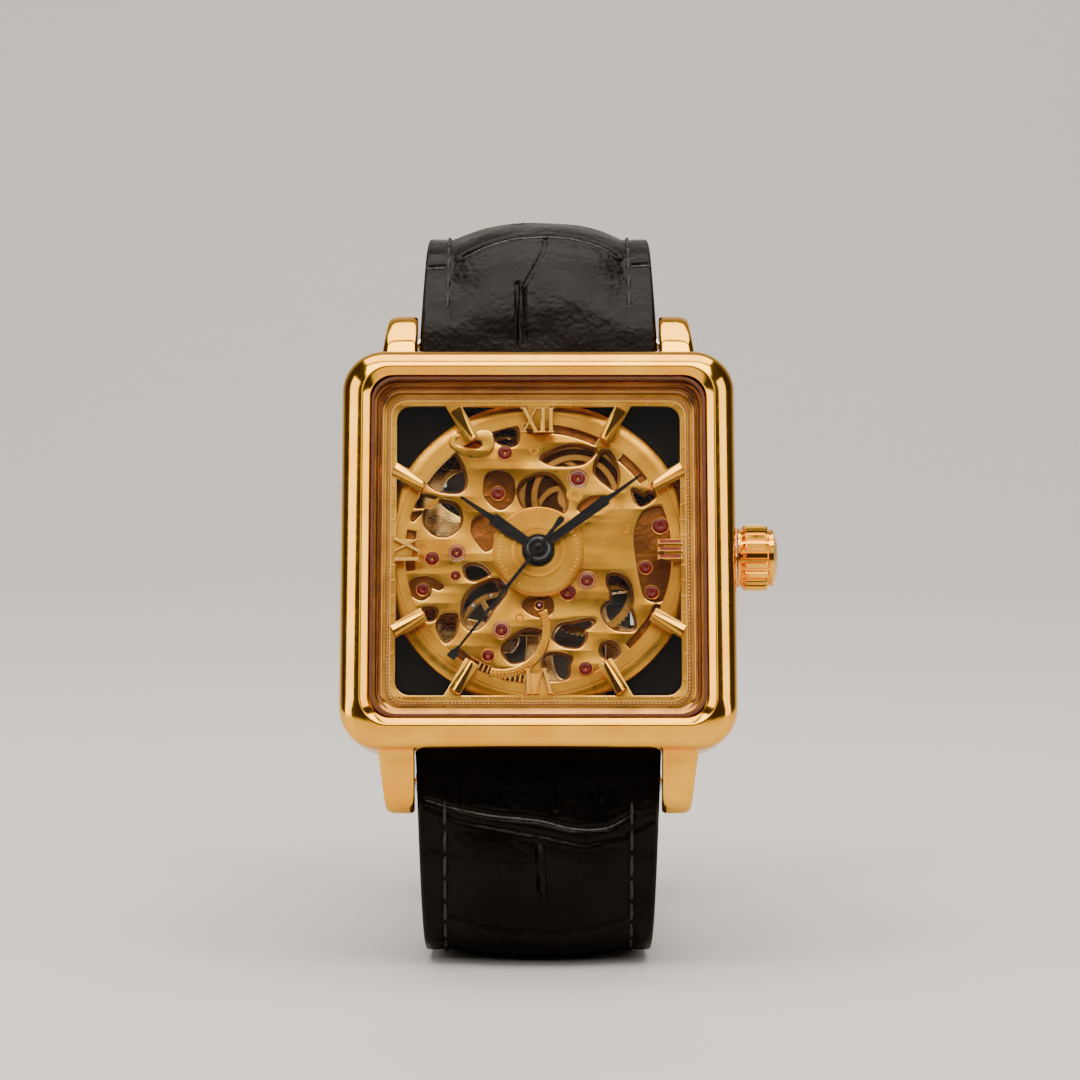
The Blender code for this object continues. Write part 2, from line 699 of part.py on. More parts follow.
def winding_wheels():
    """Ratchet wheel on the barrel arbor, crown wheel, winding pinion and click."""
    gap = distance(BARREL_AT, CROWN_WHEEL_AT)
    ratchet = pitch(RATCHET_TEETH, CROWN_TEETH, gap)
    crown = pitch(CROWN_TEETH, RATCHET_TEETH, gap)
    outline = gear_outline(RATCHET_TEETH, ratchet, 0.15)
    windows = spoke_windows(4, 1.5, ratchet - 0.8, 0.8)
    arbor = rod("arbor", 0.6, -0.1, -4.7, 12)
    core = rod("core", 1.15, -1.35, -2.5, 14)
    wheel("ratchet_wheel", BARREL_AT, WINDING_LEVEL, outline, windows, STEEL, [arbor, core])
    outline = gear_outline(CROWN_TEETH, crown, 0.15, 0.5)
    windows = spoke_windows(4, 1.1, crown - 0.8, 0.7)
    arbor = rod("arbor", 0.36, -3.5, -4.7, 10)
    wheel("crown_wheel", CROWN_WHEEL_AT, WINDING_LEVEL, outline, windows, STEEL, [arbor])
    toward = math.degrees(math.atan2(BARREL_AT[1] - CLICK_AT[1], BARREL_AT[0] - CLICK_AT[0]))
    reach = distance(BARREL_AT, CLICK_AT) - ratchet
    outline = [polar(reach - 0.14, toward)] + arc(0.55, toward + 60, toward + 250, 7)
    wheel("click", CLICK_AT, WINDING_LEVEL, outline, [], STEEL, [rod("pin", 0.2, -3.7, -4.7, 8)])


def going_train():
    """Centre, third, fourth and escape wheels, each with its pinion and arbor."""
    d_centre = distance(BARREL_AT, CENTER)
    d_third = distance(THIRD_AT, CENTER)
    d_escape = distance(ESCAPE_AT, CENTER)
    gold_windows = spoke_windows(5, 1.1, 4.1, 0.5)
    # Hollow centre arbor: the seconds arbor turns inside it and the cannon pinion sits on its front end
    outline = gear_outline(CENTER_TEETH, pitch(CENTER_TEETH, THIRD_PINION, d_third), 0.16)
    parts = [
        pinion(CENTER_PINION, pitch(CENTER_PINION, BARREL_TEETH, d_centre), -1.05, -2.75),
        rod("arbor", 0.27, 1.0, -2.95, 12),
    ]
    obj = wheel("center_wheel", CENTER, CENTER_LEVEL, outline, gold_windows, BRASS, parts)
    cut(obj, rod("hollow", 0.165, 2, -4, 10))
    outline = gear_outline(THIRD_TEETH, pitch(THIRD_TEETH, FOURTH_PINION, d_third), 0.16)
    parts = [
        pinion(THIRD_PINION, pitch(THIRD_PINION, CENTER_TEETH, d_third), -2.6, -3.1),
        rod("arbor", 0.2, -0.1, -4.7, 8),
    ]
    wheel("third_wheel", THIRD_AT, THIRD_LEVEL, outline, gold_windows, BRASS, parts)
    outline = gear_outline(FOURTH_TEETH, pitch(FOURTH_TEETH, ESCAPE_PINION, d_escape), 0.14)
    parts = [
        pinion(FOURTH_PINION, pitch(FOURTH_PINION, THIRD_TEETH, d_third), -2.96, -3.35),
        rod("arbor", 0.13, 2.1, -4.7, 8),
    ]
    wheel("fourth_wheel", CENTER, FOURTH_LEVEL, outline, spoke_windows(5, 1.0, 4.0, 0.45), BRASS, parts)
    outline = []
    for i in range(ESCAPE_TEETH):
        turn = 360 * i / ESCAPE_TEETH
        outline += [polar(1.45, turn), polar(1.9, turn + 9), polar(1.86, turn + 13), polar(1.45, turn + 11)]
    parts = [
        pinion(ESCAPE_PINION, pitch(ESCAPE_PINION, FOURTH_TEETH, d_escape), -3.26, -3.5),
        rod("arbor", 0.12, -0.1, -4.7, 8),
    ]
    windows = spoke_windows(4, 0.4, 1.15, 0.25, 2)
    wheel("escape_wheel", ESCAPE_AT, ESCAPE_LEVEL, outline, windows, STEEL, parts)


def pallet_fork():
    """A lever with two pallet arms at the escape wheel and a fork at the balance's roller."""
    to_escape = math.degrees(math.atan2(ESCAPE_AT[1] - PALLET_AT[1], ESCAPE_AT[0] - PALLET_AT[0]))
    outline = [
        polar(0.28, to_escape + 110),
        polar(1.42, to_escape + 171),
        polar(1.2, to_escape + 180),
        polar(1.42, to_escape + 189),
        polar(0.28, to_escape + 250),
        polar(1.55, to_escape - 80),
        polar(1.62, to_escape - 66),
        polar(0.3, to_escape - 20),
        polar(0.3, to_escape + 20),
        polar(1.62, to_escape + 66),
        polar(1.55, to_escape + 80),
    ]
    wheel("pallet_fork", PALLET_AT, ESCAPE_LEVEL, outline, [], STEEL, [rod("arbor", 0.15, -0.1, -1.38, 8)])


def balance():
    rim = circle(4.25, 40)
    windows = spoke_windows(3, 0.55, 3.72, 0.45, 6)
    parts = [
        rod("staff", 0.12, -0.1, -4.7, 8),
        rod("hub", 0.45, -1.5, -2.2, 10),
        rod("roller", 0.42, ESCAPE_LEVEL[0] - 0.3, -1.7, 10),
    ]
    wheel("balance_wheel", BALANCE_AT, (-1.65, -2.1), rim, windows, BRASS, parts)
    turns = 5
    steps = 10
    count = turns * steps
    rows = []
    for offset in (0.03, -0.03):
        rows.append([polar(0.55 + 1.4 * i / count + offset, 360 * i / steps) for i in range(count + 1)])
    add("hairspring", flat("hairspring", [rows[0] + rows[1][::-1]], -2.35, -2.5), SPRING, (*BALANCE_AT, 0))


def motion_works():
    """Cannon pinion, minute wheel and hour wheel in front of the plate, under a stepped cover."""
    gap = distance(MINUTE_WHEEL_AT, CENTER)
    cannon = pitch(CANNON_TEETH, MINUTE_TEETH, gap)
    outline = gear_outline(CANNON_TEETH, cannon, 0.14)
    hollow = circle(0.3, 12)
    tube = [circle(0.44, 14), hollow]
    obj = add("cannon_pinion", flat("cannon_pinion", [outline, hollow], 0.32, 0.08), STEEL)
    join(obj, flat("tube", tube, 2.03, 0.2))
    outline = gear_outline(MINUTE_TEETH, pitch(MINUTE_TEETH, CANNON_TEETH, gap), 0.14)
    parts = [
        pinion(MINUTE_PINION, pitch(MINUTE_PINION, HOUR_TEETH, gap), 0.62, 0.2),
        rod("arbor", 0.2, 0.66, -0.8, 8),
    ]
    wheel("minute_wheel", MINUTE_WHEEL_AT, (0.3, 0.1), outline, [], BRASS, parts)
    outline = gear_outline(HOUR_TEETH, pitch(HOUR_TEETH, MINUTE_PINION, gap), 0.12)
    hollow = circle(0.49, 14)
    obj = add("hour_wheel", flat("hour_wheel", [outline, hollow], 0.6, 0.4), BRASS)
    join(obj, flat("tube", [circle(0.68, 14), hollow], 1.5, 0.5))
    cover = [
        (0.78, 1.16), (2.6, 1.16), (2.6, 1.02), (3.55, 1.02), (3.55, 0.9),
        (4.5, 0.9), (4.5, 0.03), (4.15, 0.03), (4.15, 0.72), (0.78, 0.72),
    ]
    turned("motion_cover", cover, GOLD, 28)


def hand(name, angle, half_widths, level, hub, bore, tube_top):
    """A hand along its own +y, from (distance, half width) pairs, with a round hub and a bore."""
    right = [(half, reach) for reach, half in half_widths]
    left = [(-half, reach) for reach, half in reversed(half_widths)]
    bar = flat(name, [right + left], *level)
    obj = add(name, bar, BLACK)
    obj.rotation_euler = (0, 0, math.radians(-angle))
    hub_mesh = flat("hub", [circle(hub, 28)], level[0] + tube_top, level[1] - 0.03)
    join(obj, hub_mesh)
    cut(obj, rod("bore", bore, level[1] - 0.5, level[0] + 0.02 if name == "seconds_hand" else 5, 14))


def hands():
    hour = [(0.5, 0.45), (3.3, 0.62), (5.5, 0.6), (9.0, 0.26), (9.33, 0.1)]
    minute = [(0.5, 0.42), (3.3, 0.54), (8.35, 0.5), (12.2, 0.24), (12.56, 0.1)]
    second = [(-3.9, 0.3), (0.0, 0.24), (12.5, 0.14), (13.0, 0.42), (13.9, 0.42)]
    hand("hour_hand", HOUR_ANGLE, hour, (1.5, 1.32), 1.85, 0.72, 0.02)
    hand("minute_hand", MINUTE_ANGLE, minute, (2.0, 1.82), 1.5, 0.48, 0.02)
    hand("seconds_hand", SECOND_ANGLE, second, (2.33, 2.2), 0.8, 0.16, 0.2)


def crown_and_stem():
    turned("winding_stem", [(0, 21.9), (0.6, 21.9), (0.6, 9.6), (0, 9.6)], STEEL, 12, (0, 0, STEM_Z), along_x=True)
    flutes = 20
    levels = [
        (19.5, 2.7, 0.0), (19.6, 2.95, 0.0), (20.0, 2.95, 0.0), (20.15, 3.25, 0.26), (22.6, 3.25, 0.26),
        (22.8, 2.95, 0.0), (23.3, 2.65, 0.0), (23.55, 2.1, 0.0),
    ]
    rings = []
    for x, radius, depth in levels:
        ring = []
        for i in range(flutes * 2):
            reach = radius - depth * (i % 2)
            y, z = polar(reach, 180 * i / flutes)
            ring.append((x, y, z))
        rings.append(ring)
    obj = add("crown", loft("crown", rings), GOLD, (0, 0, STEM_Z))
    cut(obj, rod("stem_bore", 0.66, 19, 22.1, 12, "X"))
    outline = gear_outline(12, 1.12, 0.24)
    mesh = flat("winding_pinion", [outline, circle(0.68, 12)], 11.0, 10.0)
    obj = add("winding_pinion", mesh, STEEL, (0, 0, STEM_Z))
    obj.rotation_euler = (0, math.radians(90), 0)


# ---------------------------------------------------------------- strap


def head_point(y, z):
    """World (y, z) of a point of the head's middle plane."""
    lean = math.radians(LEAN_DEG)
    return (
        HEAD_Y + y * math.sin(lean) - z * math.cos(lean),
        HEAD_Z + y * math.cos(lean) + z * math.sin(lean),
    )


def strap(name, route, length_to_width, tip=None):
    """Leather along the route of its outer face; the wrist is on the left of the direction of travel."""
    travelled = 0.0
    rings = []
    for i, point in enumerate(route):
        ahead = route[min(i + 1, len(route) - 1)]
        behind = route[max(i - 1, 0)]
        along = (ahead - behind).normalized()
        inward = Vector((-along.y, along.x)) * WRIST_SIDE[name]
        if i:
            travelled += (point - route[i - 1]).length
        share = min(travelled / length_to_width, 1.0)
        ease = min(travelled / 18.0, 1.0)
        half = (STRAP_END_WIDTH + (STRAP_TAIL_WIDTH - STRAP_END_WIDTH) * share ** 0.7) / 2
        if tip and i >= len(route) - len(tip):
            half *= tip[i - len(route) + len(tip)]
        thick = STRAP_END_THICKNESS + (STRAP_THICKNESS - STRAP_END_THICKNESS) * ease
        edge = 0.45
        section = [
            (-half + edge, 0), (half - edge, 0), (half, edge), (half, thick - edge),
            (half - edge, thick), (-half + edge, thick), (-half, thick - edge), (-half, edge),
        ]
        ring = []
        for x, depth in section:
            at = point + inward * depth
            ring.append((x, at.x, at.y))
        rings.append(ring)
    return loft(name, rings)


def straps():
    bar_y = SPRING_BAR_Y
    outer = SPRING_BAR_Z + STRAP_END_THICKNESS / 2
    route = [
        head_point(bar_y - 1.75, outer),
        head_point(bar_y, outer),
        (2.6, 65.0), (5.4, 68.8), (9.0, 71.4), (13.5, 72.4), (18.5, 71.7), (24.0, 69.0), (29.2, 64.8),
        (33.2, 59.4), (35.9, 53.8), (BACK_Y - 0.1, 48.6), (BACK_Y, 44.0), (BACK_Y, 39.0), (BACK_Y, 34.0),
        (BACK_Y, 29.5), (BACK_Y, BUCKLE_Z - 1.2),
    ]
    obj = add("strap_buckle_side", strap("strap_buckle_side", smooth_route(route, 1), 60), LEATHER, parent=loop)
    y, z = head_point(bar_y, SPRING_BAR_Z)
    cut(obj, rod("bar_way", BAR_RADIUS + 0.08, -15, 15, 12, "X", (y, z)))
    cut(obj, rod("buckle_bar_way", 0.65, -15, 15, 10, "X", (BUCKLE_BAR_Y, BUCKLE_Z)))
    cut(obj, box("tongue_slot", (-1.6, 30, BUCKLE_Z - 5), (1.6, 40, BUCKLE_Z + 2.2)))
    over = BACK_Y + STRAP_THICKNESS + 0.25
    route = [
        head_point(-bar_y + 1.75, outer),
        head_point(-bar_y, outer),
        (-14.3, 15.8), (-14.9, 12.6), (-14.8, 9.4), (-14.0, 6.4), (-12.4, 3.6), (-10.2, 1.4), (-7.6, 0.2),
        (-6.4, 0.0), (15.0, 0.0), (18.5, 0.7), (22.4, 2.4), (26.2, 5.0), (29.8, 8.4), (33.0, 12.6),
        (35.2, 16.4), (36.3, 19.6), (37.7, 22.2), (39.3, 25.2), (over, 28.6), (over, 33.0), (over, 43.0),
        (over - 0.1, 48.2), (over - 0.7, 51.8), (over - 1.3, 53.6), (over - 1.7, 54.8),
    ]
    points = smooth_route(route, 1)
    mesh = strap("strap_tail_side", points, 70, (0.97, 0.9, 0.72, 0.4))
    obj = add("strap_tail_side", mesh, LEATHER, parent=loop)
    y, z = head_point(-bar_y, SPRING_BAR_Z)
    cut(obj, rod("bar_way", BAR_RADIUS + 0.08, -15, 15, 12, "X", (y, z)))
    cut(obj, box("tongue_hole", (-1.3, 30, BUCKLE_Z - 6.6), (1.3, 45, BUCKLE_Z + 0.1)))
    for step in range(1, 4):
        z = BUCKLE_Z + 6.0 * step
        cut(obj, hole_along_y(0.75, over - 6, over + 3, z))


def hole_along_y(radius, start, end, z):
    mesh = rod("strap_hole", radius, start, end, 10)
    mesh.transform(Matrix.Translation((0, 0, z * MM)) @ Matrix.Rotation(math.radians(-90), 4, "X"))
    return mesh


def spring_bars():
    for name, side in (("spring_bar_12", 1), ("spring_bar_6", -1)):
        inner = LUG_INNER - 0.1
        profile = [
            (0, inner + 1.2), (0.42, inner + 1.2), (0.42, inner), (BAR_RADIUS, inner), (BAR_RADIUS, -inner),
            (0.42, -inner), (0.42, -inner - 1.2), (0, -inner - 1.2),
        ]
        place = (0, side * SPRING_BAR_Y, SPRING_BAR_Z)
        turned(name, profile, STEEL, 12, place, along_x=True)


def buckle():
    profile = [(0, 12.3), (0.52, 12.3), (0.52, -12.3), (0, -12.3)]
    place = (0, BUCKLE_BAR_Y, BUCKLE_Z)
    turned("buckle_bar", profile, GOLD, 12, place, loop, along_x=True)
    # Frame: two side arms from the bar's eyes out to the crossbar, around the tail of the strap
    arm = [
        (-1.15, 0.4), (-0.6, 1.15), (0.6, 1.15), (1.15, 0.4), (2.55, -BUCKLE_LENGTH + 2.2),
        (2.95, -BUCKLE_LENGTH), (2.5, -BUCKLE_LENGTH - 0.95), (1.5, -BUCKLE_LENGTH - 0.95),
        (1.15, -BUCKLE_LENGTH), (-0.4, -2.4),
    ]
    rings = [[(x, y, z) for y, z in arm] for x in (-12.1, -10.5)]
    obj = add("buckle_frame", loft("buckle_frame", rings), GOLD, place, loop)
    rings = [[(x, y, z) for y, z in arm] for x in (10.5, 12.1)]
    bar_at = (2.05, -BUCKLE_LENGTH + 0.05)
    join(obj, loft("arm", rings), rod("crossbar", 0.85, -11.3, 11.3, 12, "X", bar_at))
    cut(obj, rod("bar_eye", 0.58, -13, 13, 12, "X"))
    # Tongue: an eye on the bar and a blade through the strap's hole, lying on the crossbar
    rings = [[(x, y, z) for y, z in tongue_outline()] for x in (-1.1, 1.1)]
    obj = add("buckle_tongue", loft("buckle_tongue", rings), GOLD, place, loop)
    cut(obj, rod("tongue_eye", 0.58, -3, 3, 12, "X"))


def tongue_outline():
    end = -BUCKLE_LENGTH - 0.7
    return arc(1.05, -20, 245, 10) + [(0.9, -3.4), (2.75, -7.6), (3.05, end), (3.85, end), (3.75, -7.4), (1.75, -3.2)]


def keeper(name, z, height):
    """A leather loop round both layers of the strap."""
    low = BACK_Y - STRAP_THICKNESS - 0.18
    high = BACK_Y + STRAP_THICKNESS + 0.25 + 0.18
    middle = (low + high) / 2
    depth = (high - low) / 2
    inner = rounded_rectangle((10.35, depth, 0.5), 2)
    outer = rounded_rectangle((11.4, depth + 1.05, 1.5), 2)
    mesh = flat(name, [outer, inner], height / 2, -height / 2)
    add(name, mesh, LEATHER, (0, middle, z), loop)


case_middle()
bezel()
crystal_and_gasket()
flange_ring()
dial_frame()
for each_hour in (1, 2, 4, 5, 7, 8, 10, 11):
    hour_marker(each_hour)
numeral(12, [(-0.95, 24), (-0.95, -24), (0.4, 0), (1.2, 0)], 1.6, 13.1)
numeral(3, [(-0.75, 0), (0.0, 0), (0.75, 0)], 1.15, 12.9)
numeral(6, [(-0.95, -18), (-0.2, 18), (1.1, 0)], 1.6, 13.1)
numeral(9, [(-0.9, 0), (0.55, 24), (0.55, -24)], 1.4, 12.9)
case_back()
movement_holder()
main_plate()
barrel_bridge()
train_bridge()
balance_cock()
barrel()
winding_wheels()
going_train()
pallet_fork()
balance()
motion_works()
hands()
crown_and_stem()
straps()
spring_bars()
buckle()
keeper("fixed_keeper", 33.0, 4.6)
keeper("free_keeper", 41.0, 4.6)
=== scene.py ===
import json
import math

import bmesh
import bpy
import numpy as np
from mathutils import Matrix, Vector, noise


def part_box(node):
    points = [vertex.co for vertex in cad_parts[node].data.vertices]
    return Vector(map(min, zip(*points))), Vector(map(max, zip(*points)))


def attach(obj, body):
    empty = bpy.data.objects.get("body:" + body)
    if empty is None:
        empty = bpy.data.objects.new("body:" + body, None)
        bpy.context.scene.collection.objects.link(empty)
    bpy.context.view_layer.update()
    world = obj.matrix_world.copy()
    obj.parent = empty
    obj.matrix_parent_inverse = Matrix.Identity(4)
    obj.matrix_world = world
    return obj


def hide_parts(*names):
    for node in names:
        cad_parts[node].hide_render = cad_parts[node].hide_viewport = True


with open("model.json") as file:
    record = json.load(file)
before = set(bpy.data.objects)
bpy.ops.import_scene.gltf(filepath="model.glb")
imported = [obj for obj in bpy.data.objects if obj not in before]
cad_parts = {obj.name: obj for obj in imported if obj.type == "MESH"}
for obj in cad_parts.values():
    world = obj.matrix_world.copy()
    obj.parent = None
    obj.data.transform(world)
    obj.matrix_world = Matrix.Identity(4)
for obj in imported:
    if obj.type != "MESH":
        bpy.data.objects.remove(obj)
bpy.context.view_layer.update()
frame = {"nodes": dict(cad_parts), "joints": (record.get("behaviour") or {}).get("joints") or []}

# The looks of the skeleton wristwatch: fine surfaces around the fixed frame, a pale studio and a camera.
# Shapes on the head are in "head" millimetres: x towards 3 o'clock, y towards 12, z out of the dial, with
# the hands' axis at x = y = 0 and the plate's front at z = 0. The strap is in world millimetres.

MM = 0.001
AXIS_GAP = 0.001
NODES = frame["nodes"]
JOINTS = {joint["name"]: joint for joint in frame["joints"]}


def head_matrix():
    """From head millimetres to the frame's metres, read from the axis of the seconds hand."""
    hands = JOINTS["seconds_turn"]
    outward = -Vector(hands["axis"])
    right = Vector((1, 0, 0))
    turn = Matrix((right, outward.cross(right), outward)).transposed().to_4x4()
    return Matrix.Translation(Vector(hands["pos_m"])) @ turn @ Matrix.Scale(MM, 4)


HEAD = head_matrix()
TO_HEAD = HEAD.inverted()
WORLD = Matrix.Scale(MM, 4)


def joint_at(name):
    """Where a joint's axis crosses the dial plane, in head millimetres."""
    at = TO_HEAD @ Vector(JOINTS[name]["pos_m"])
    return (at.x, at.y)


def head_box(node):
    """Lowest and highest corner of a CAD node in head millimetres."""
    points = np.array([TO_HEAD @ v.co for v in NODES[node].data.vertices])
    return Vector(points.min(0)), Vector(points.max(0))


# ---------------------------------------------------------------- outlines


def polar(radius, degrees, at=(0.0, 0.0)):
    turn = math.radians(degrees)
    return (at[0] + radius * math.cos(turn), at[1] + radius * math.sin(turn))


def arc(radius, start, end, steps, at=(0.0, 0.0)):
    return [polar(radius, start + (end - start) * i / steps, at) for i in range(steps + 1)]


def circle(radius, sides, at=(0.0, 0.0)):
    return arc(radius, 0, 360, sides, at)[:-1]


def rounded_rectangle(half, steps=12):
    """Outline of a rectangle given as (half x, half y, corner radius)."""
    x = half[0] - half[2]
    y = half[1] - half[2]
    points = []
    for cx, cy, start in ((x, y, 0), (-x, y, 90), (-x, -y, 180), (x, -y, 270)):
        points += arc(half[2], start, start + 90, steps, (cx, cy))
    return points


def at_level(points, z):
    return [(x, y, z) for x, y in points]


def catmull(around, t):
    before, start, end, after = around
    return 0.5 * (
        2 * start
        + (end - before) * t
        + (2 * before - 5 * start + 4 * end - after) * t * t
        + (3 * start - before - 3 * end + after) * t ** 3
    )


def smooth_closed(points, steps=5):
    count = len(points)
    made = []
    for i in range(count):
        around = [Vector(points[(i + k) % count]) for k in (-1, 0, 1, 2)]
        made += [catmull(around, k / steps) for k in range(steps)]
    return made


def smooth_open(points, steps):
    padded = [points[0]] + list(points) + [points[-1]]
    route = []
    for i in range(len(points) - 1):
        around = [Vector(p) for p in padded[i:i + 4]]
        route += [catmull(around, k / steps) for k in range(steps)]
    return route + [Vector(points[-1])]


def grown(outline, by, limit):
    """The outline moved outwards by a distance, and kept within a radius of the dial's centre."""
    points = [Vector(p) for p in outline]
    area = sum(a.x * b.y - b.x * a.y for a, b in zip(points, points[1:] + points[:1]))
    side = 1 if area > 0 else -1
    made = []
    for i, point in enumerate(points):
        along = (points[(i + 1) % len(points)] - points[i - 1]).normalized()
        moved = point + Vector((along.y, -along.x)) * side * by
        if moved.length > limit:
            moved *= limit / moved.length
        made.append(moved)
    return made


# ---------------------------------------------------------------- meshes


def loft(bm, rings, closed=False, index=0):
    """Faces through rings of equally many points, capped at the ends or closed on themselves."""
    rows = [[bm.verts.new(p) for p in ring] for ring in rings]
    count = len(rows[0])
    pairs = list(zip(rows, rows[1:]))
    if closed:
        pairs.append((rows[-1], rows[0]))
    for low, high in pairs:
        for i in range(count):
            j = (i + 1) % count
            bm.faces.new((low[i], low[j], high[j], high[i])).material_index = index
    if not closed:
        bm.faces.new(rows[0][::-1]).material_index = index
        bm.faces.new(rows[-1]).material_index = index


def turned(bm, profile, steps=48, at=(0.0, 0.0), index=0):
    """A solid of revolution about z from a closed (radius, z) profile that stays off the axis."""
    rings = [at_level(circle(max(radius, AXIS_GAP), steps, at), z) for radius, z in profile]
    loft(bm, rings, closed=True, index=index)


def rod(bm, radius, front, back, steps, at=(0.0, 0.0), index=0):
    """A plain turned rod, such as a pivot or a pillar."""
    turned(bm, [(0.0, front), (radius, front), (radius, back), (0.0, back)], steps, at, index)


def plate(bm, outlines, front, back, bevel=0.06, rounds=1, edge_index=0, index=0, wall_index=None):
    """A flat solid with bevelled edges: the first outline is its edge and the others are its holes."""
    curve = bpy.data.curves.new("outline", "CURVE")
    curve.dimensions = "2D"
    curve.fill_mode = "BOTH"
    curve.bevel_depth = bevel
    curve.bevel_resolution = rounds - 1
    curve.offset = -bevel
    curve.extrude = (front - back) / 2 - bevel
    for outline in outlines:
        spline = curve.splines.new("POLY")
        spline.points.add(len(outline) - 1)
        for point, (x, y) in zip(spline.points, outline):
            point.co = (x, y, 0, 1)
        spline.use_cyclic_u = True
    holder = bpy.data.objects.new("outline", curve)
    bpy.context.scene.collection.objects.link(holder)
    graph = bpy.context.evaluated_depsgraph_get()
    mesh = bpy.data.meshes.new_from_object(holder.evaluated_get(graph))
    bpy.data.objects.remove(holder)
    bpy.data.curves.remove(curve)
    mesh.transform(Matrix.Translation((0, 0, (front + back) / 2)))
    old = len(bm.faces)
    bm.from_mesh(mesh)
    bpy.data.meshes.remove(mesh)
    bm.faces.ensure_lookup_table()
    added = bm.faces[old:]
    corners = list(dict.fromkeys(v for f in added for v in f.verts))
    bmesh.ops.remove_doubles(bm, verts=corners, dist=0.0005)
    bm.faces.ensure_lookup_table()
    for face in bm.faces[old:]:
        face.normal_update()
        face.material_index = index if abs(face.normal.z) > 0.95 else edge_index
        if wall_index is not None and abs(face.normal.z) < 0.3:
            face.material_index = wall_index


def bar(bm, start, end, width, low, high, chamfer=0.06, index=0):
    """A straight bar between two points, its top edges chamfered."""
    start = Vector(start)
    end = Vector(end)
    along = (end - start).normalized()
    across = Vector((-along.y, along.x))
    rings = []
    for z, inset in ((low, 0.0), (high - chamfer, 0.0), (high, chamfer)):
        half = width / 2 - inset
        ring = []
        for a, b in ((start + along * inset, -half), (end - along * inset, -half),
                     (end - along * inset, half), (start + along * inset, half)):
            at = a + across * b
            ring.append((at.x, at.y, z))
        rings.append(ring)
    loft(bm, rings, index=index)


def bead(bm, at, radius, squash=1.0):
    matrix = Matrix.Translation(at) @ Matrix.Diagonal((1, 1, squash, 1))
    bmesh.ops.create_icosphere(bm, subdivisions=1, radius=radius, matrix=matrix)


def piece(name, bm, looks, body, replaces=(), space=HEAD, sharp=32, before=None):
    """Makes the object, sets it in the frame, hangs it on the body that it rides on and hides the CAD nodes
    that it stands for.
    """
    bmesh.ops.recalc_face_normals(bm, faces=bm.faces)
    mesh = bpy.data.meshes.new(name)
    bm.to_mesh(mesh)
    bm.free()
    mesh.transform(space @ before if before else space)
    mesh.shade_smooth()
    mesh.set_sharp_from_angle(angle=math.radians(sharp))
    for look in looks:
        mesh.materials.append(look)
    obj = bpy.data.objects.new(name, mesh)
    bpy.context.scene.collection.objects.link(obj)
    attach(obj, body)
    if replaces:
        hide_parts(*replaces)
    return obj


# ---------------------------------------------------------------- materials


class Look:
    """A Principled material that is put together by adding nodes to its sockets."""

    def __init__(self, name, slot=None, **values):
        self.material = bpy.data.materials.new(name)
        self.material.use_nodes = True
        if slot:
            self.material["slot"] = slot
        self.tree = self.material.node_tree
        self.shader = self.tree.nodes["Principled BSDF"]
        for socket, value in values.items():
            self.shader.inputs[socket.replace("_", " ")].default_value = value
        self.height = None

    def node(self, kind, links=(), **values):
        made = self.tree.nodes.new(kind)
        for socket, value in values.items():
            made.inputs[socket.replace("_", " ")].default_value = value
        for socket, source in links:
            self.tree.links.new(source, made.inputs[socket])
        return made

    def place(self, scale=(1, 1, 1), rotation=(0, 0, 0)):
        """Object coordinates, in metres, scaled and turned."""
        coordinates = self.node("ShaderNodeTexCoord").outputs["Object"]
        return self.node(
            "ShaderNodeMapping", [("Vector", coordinates)], Scale=scale, Rotation=rotation
        ).outputs["Vector"]

    def noise(self, scale, detail=4.0, where=None):
        links = [("Vector", where or self.place())]
        return self.node("ShaderNodeTexNoise", links, Scale=scale, Detail=detail).outputs["Fac"]

    def colours(self, factor, *stops):
        """Base colour between (position, colour) stops."""
        ramp = self.node("ShaderNodeValToRGB", [("Fac", factor)])
        elements = ramp.color_ramp.elements
        while len(elements) < len(stops):
            elements.new(0.5)
        for element, (position, colour) in zip(elements, stops):
            element.position = position
            element.color = (*colour, 1)
        self.tree.links.new(ramp.outputs["Color"], self.shader.inputs["Base Color"])

    def spread(self, factor, low, high, socket="Roughness"):
        made = self.node(
            "ShaderNodeMapRange", [("Value", factor)], From_Min=0.3, From_Max=0.7, To_Min=low, To_Max=high
        )
        self.tree.links.new(made.outputs["Result"], self.shader.inputs[socket])

    def bump(self, height, distance, strength=1.0):
        """Adds a relief, its depth in millimetres, over what is there already."""
        links = [("Height", height)]
        if self.height:
            links.append(("Normal", self.height))
        made = self.node("ShaderNodeBump", links, Distance=distance * MM, Strength=strength)
        self.height = made.outputs["Normal"]
        self.tree.links.new(self.height, self.shader.inputs["Normal"])


def gold(name, slot, dark, light, rough, grain=0.0, pits=0.0, stretch=(1, 1, 1), turn=(0, 0, 0), waves=0.0):
    """Gold with cloudy colour, uneven polish and, if asked, a fine grain, cast pits and gentle waves."""
    look = Look(name, slot, Metallic=1.0)
    cloud = look.noise(260, 5)
    look.colours(cloud, (0.35, dark), (0.65, light))
    smear = look.noise(1400, 6, look.place(stretch, turn))
    look.spread(smear, *rough)
    if grain:
        look.bump(look.noise(9000, 3, look.place(stretch, turn)), grain)
    if pits:
        look.bump(look.noise(2300, 4), pits)
    else:
        look.bump(look.noise(700, 2), 0.002)
    if waves:
        look.bump(look.noise(240, 3), waves)
    return look.material


def steel(name, dark, light):
    look = Look(name, "steel", Metallic=1.0)
    look.colours(look.noise(500), (0.35, (dark, dark, dark)), (0.65, (light, light, light)))
    look.spread(look.noise(4000, 5, look.place((1, 12, 1))), 0.16, 0.3)
    look.bump(look.noise(9000, 2, look.place((1, 12, 1))), 0.003)
    return look.material


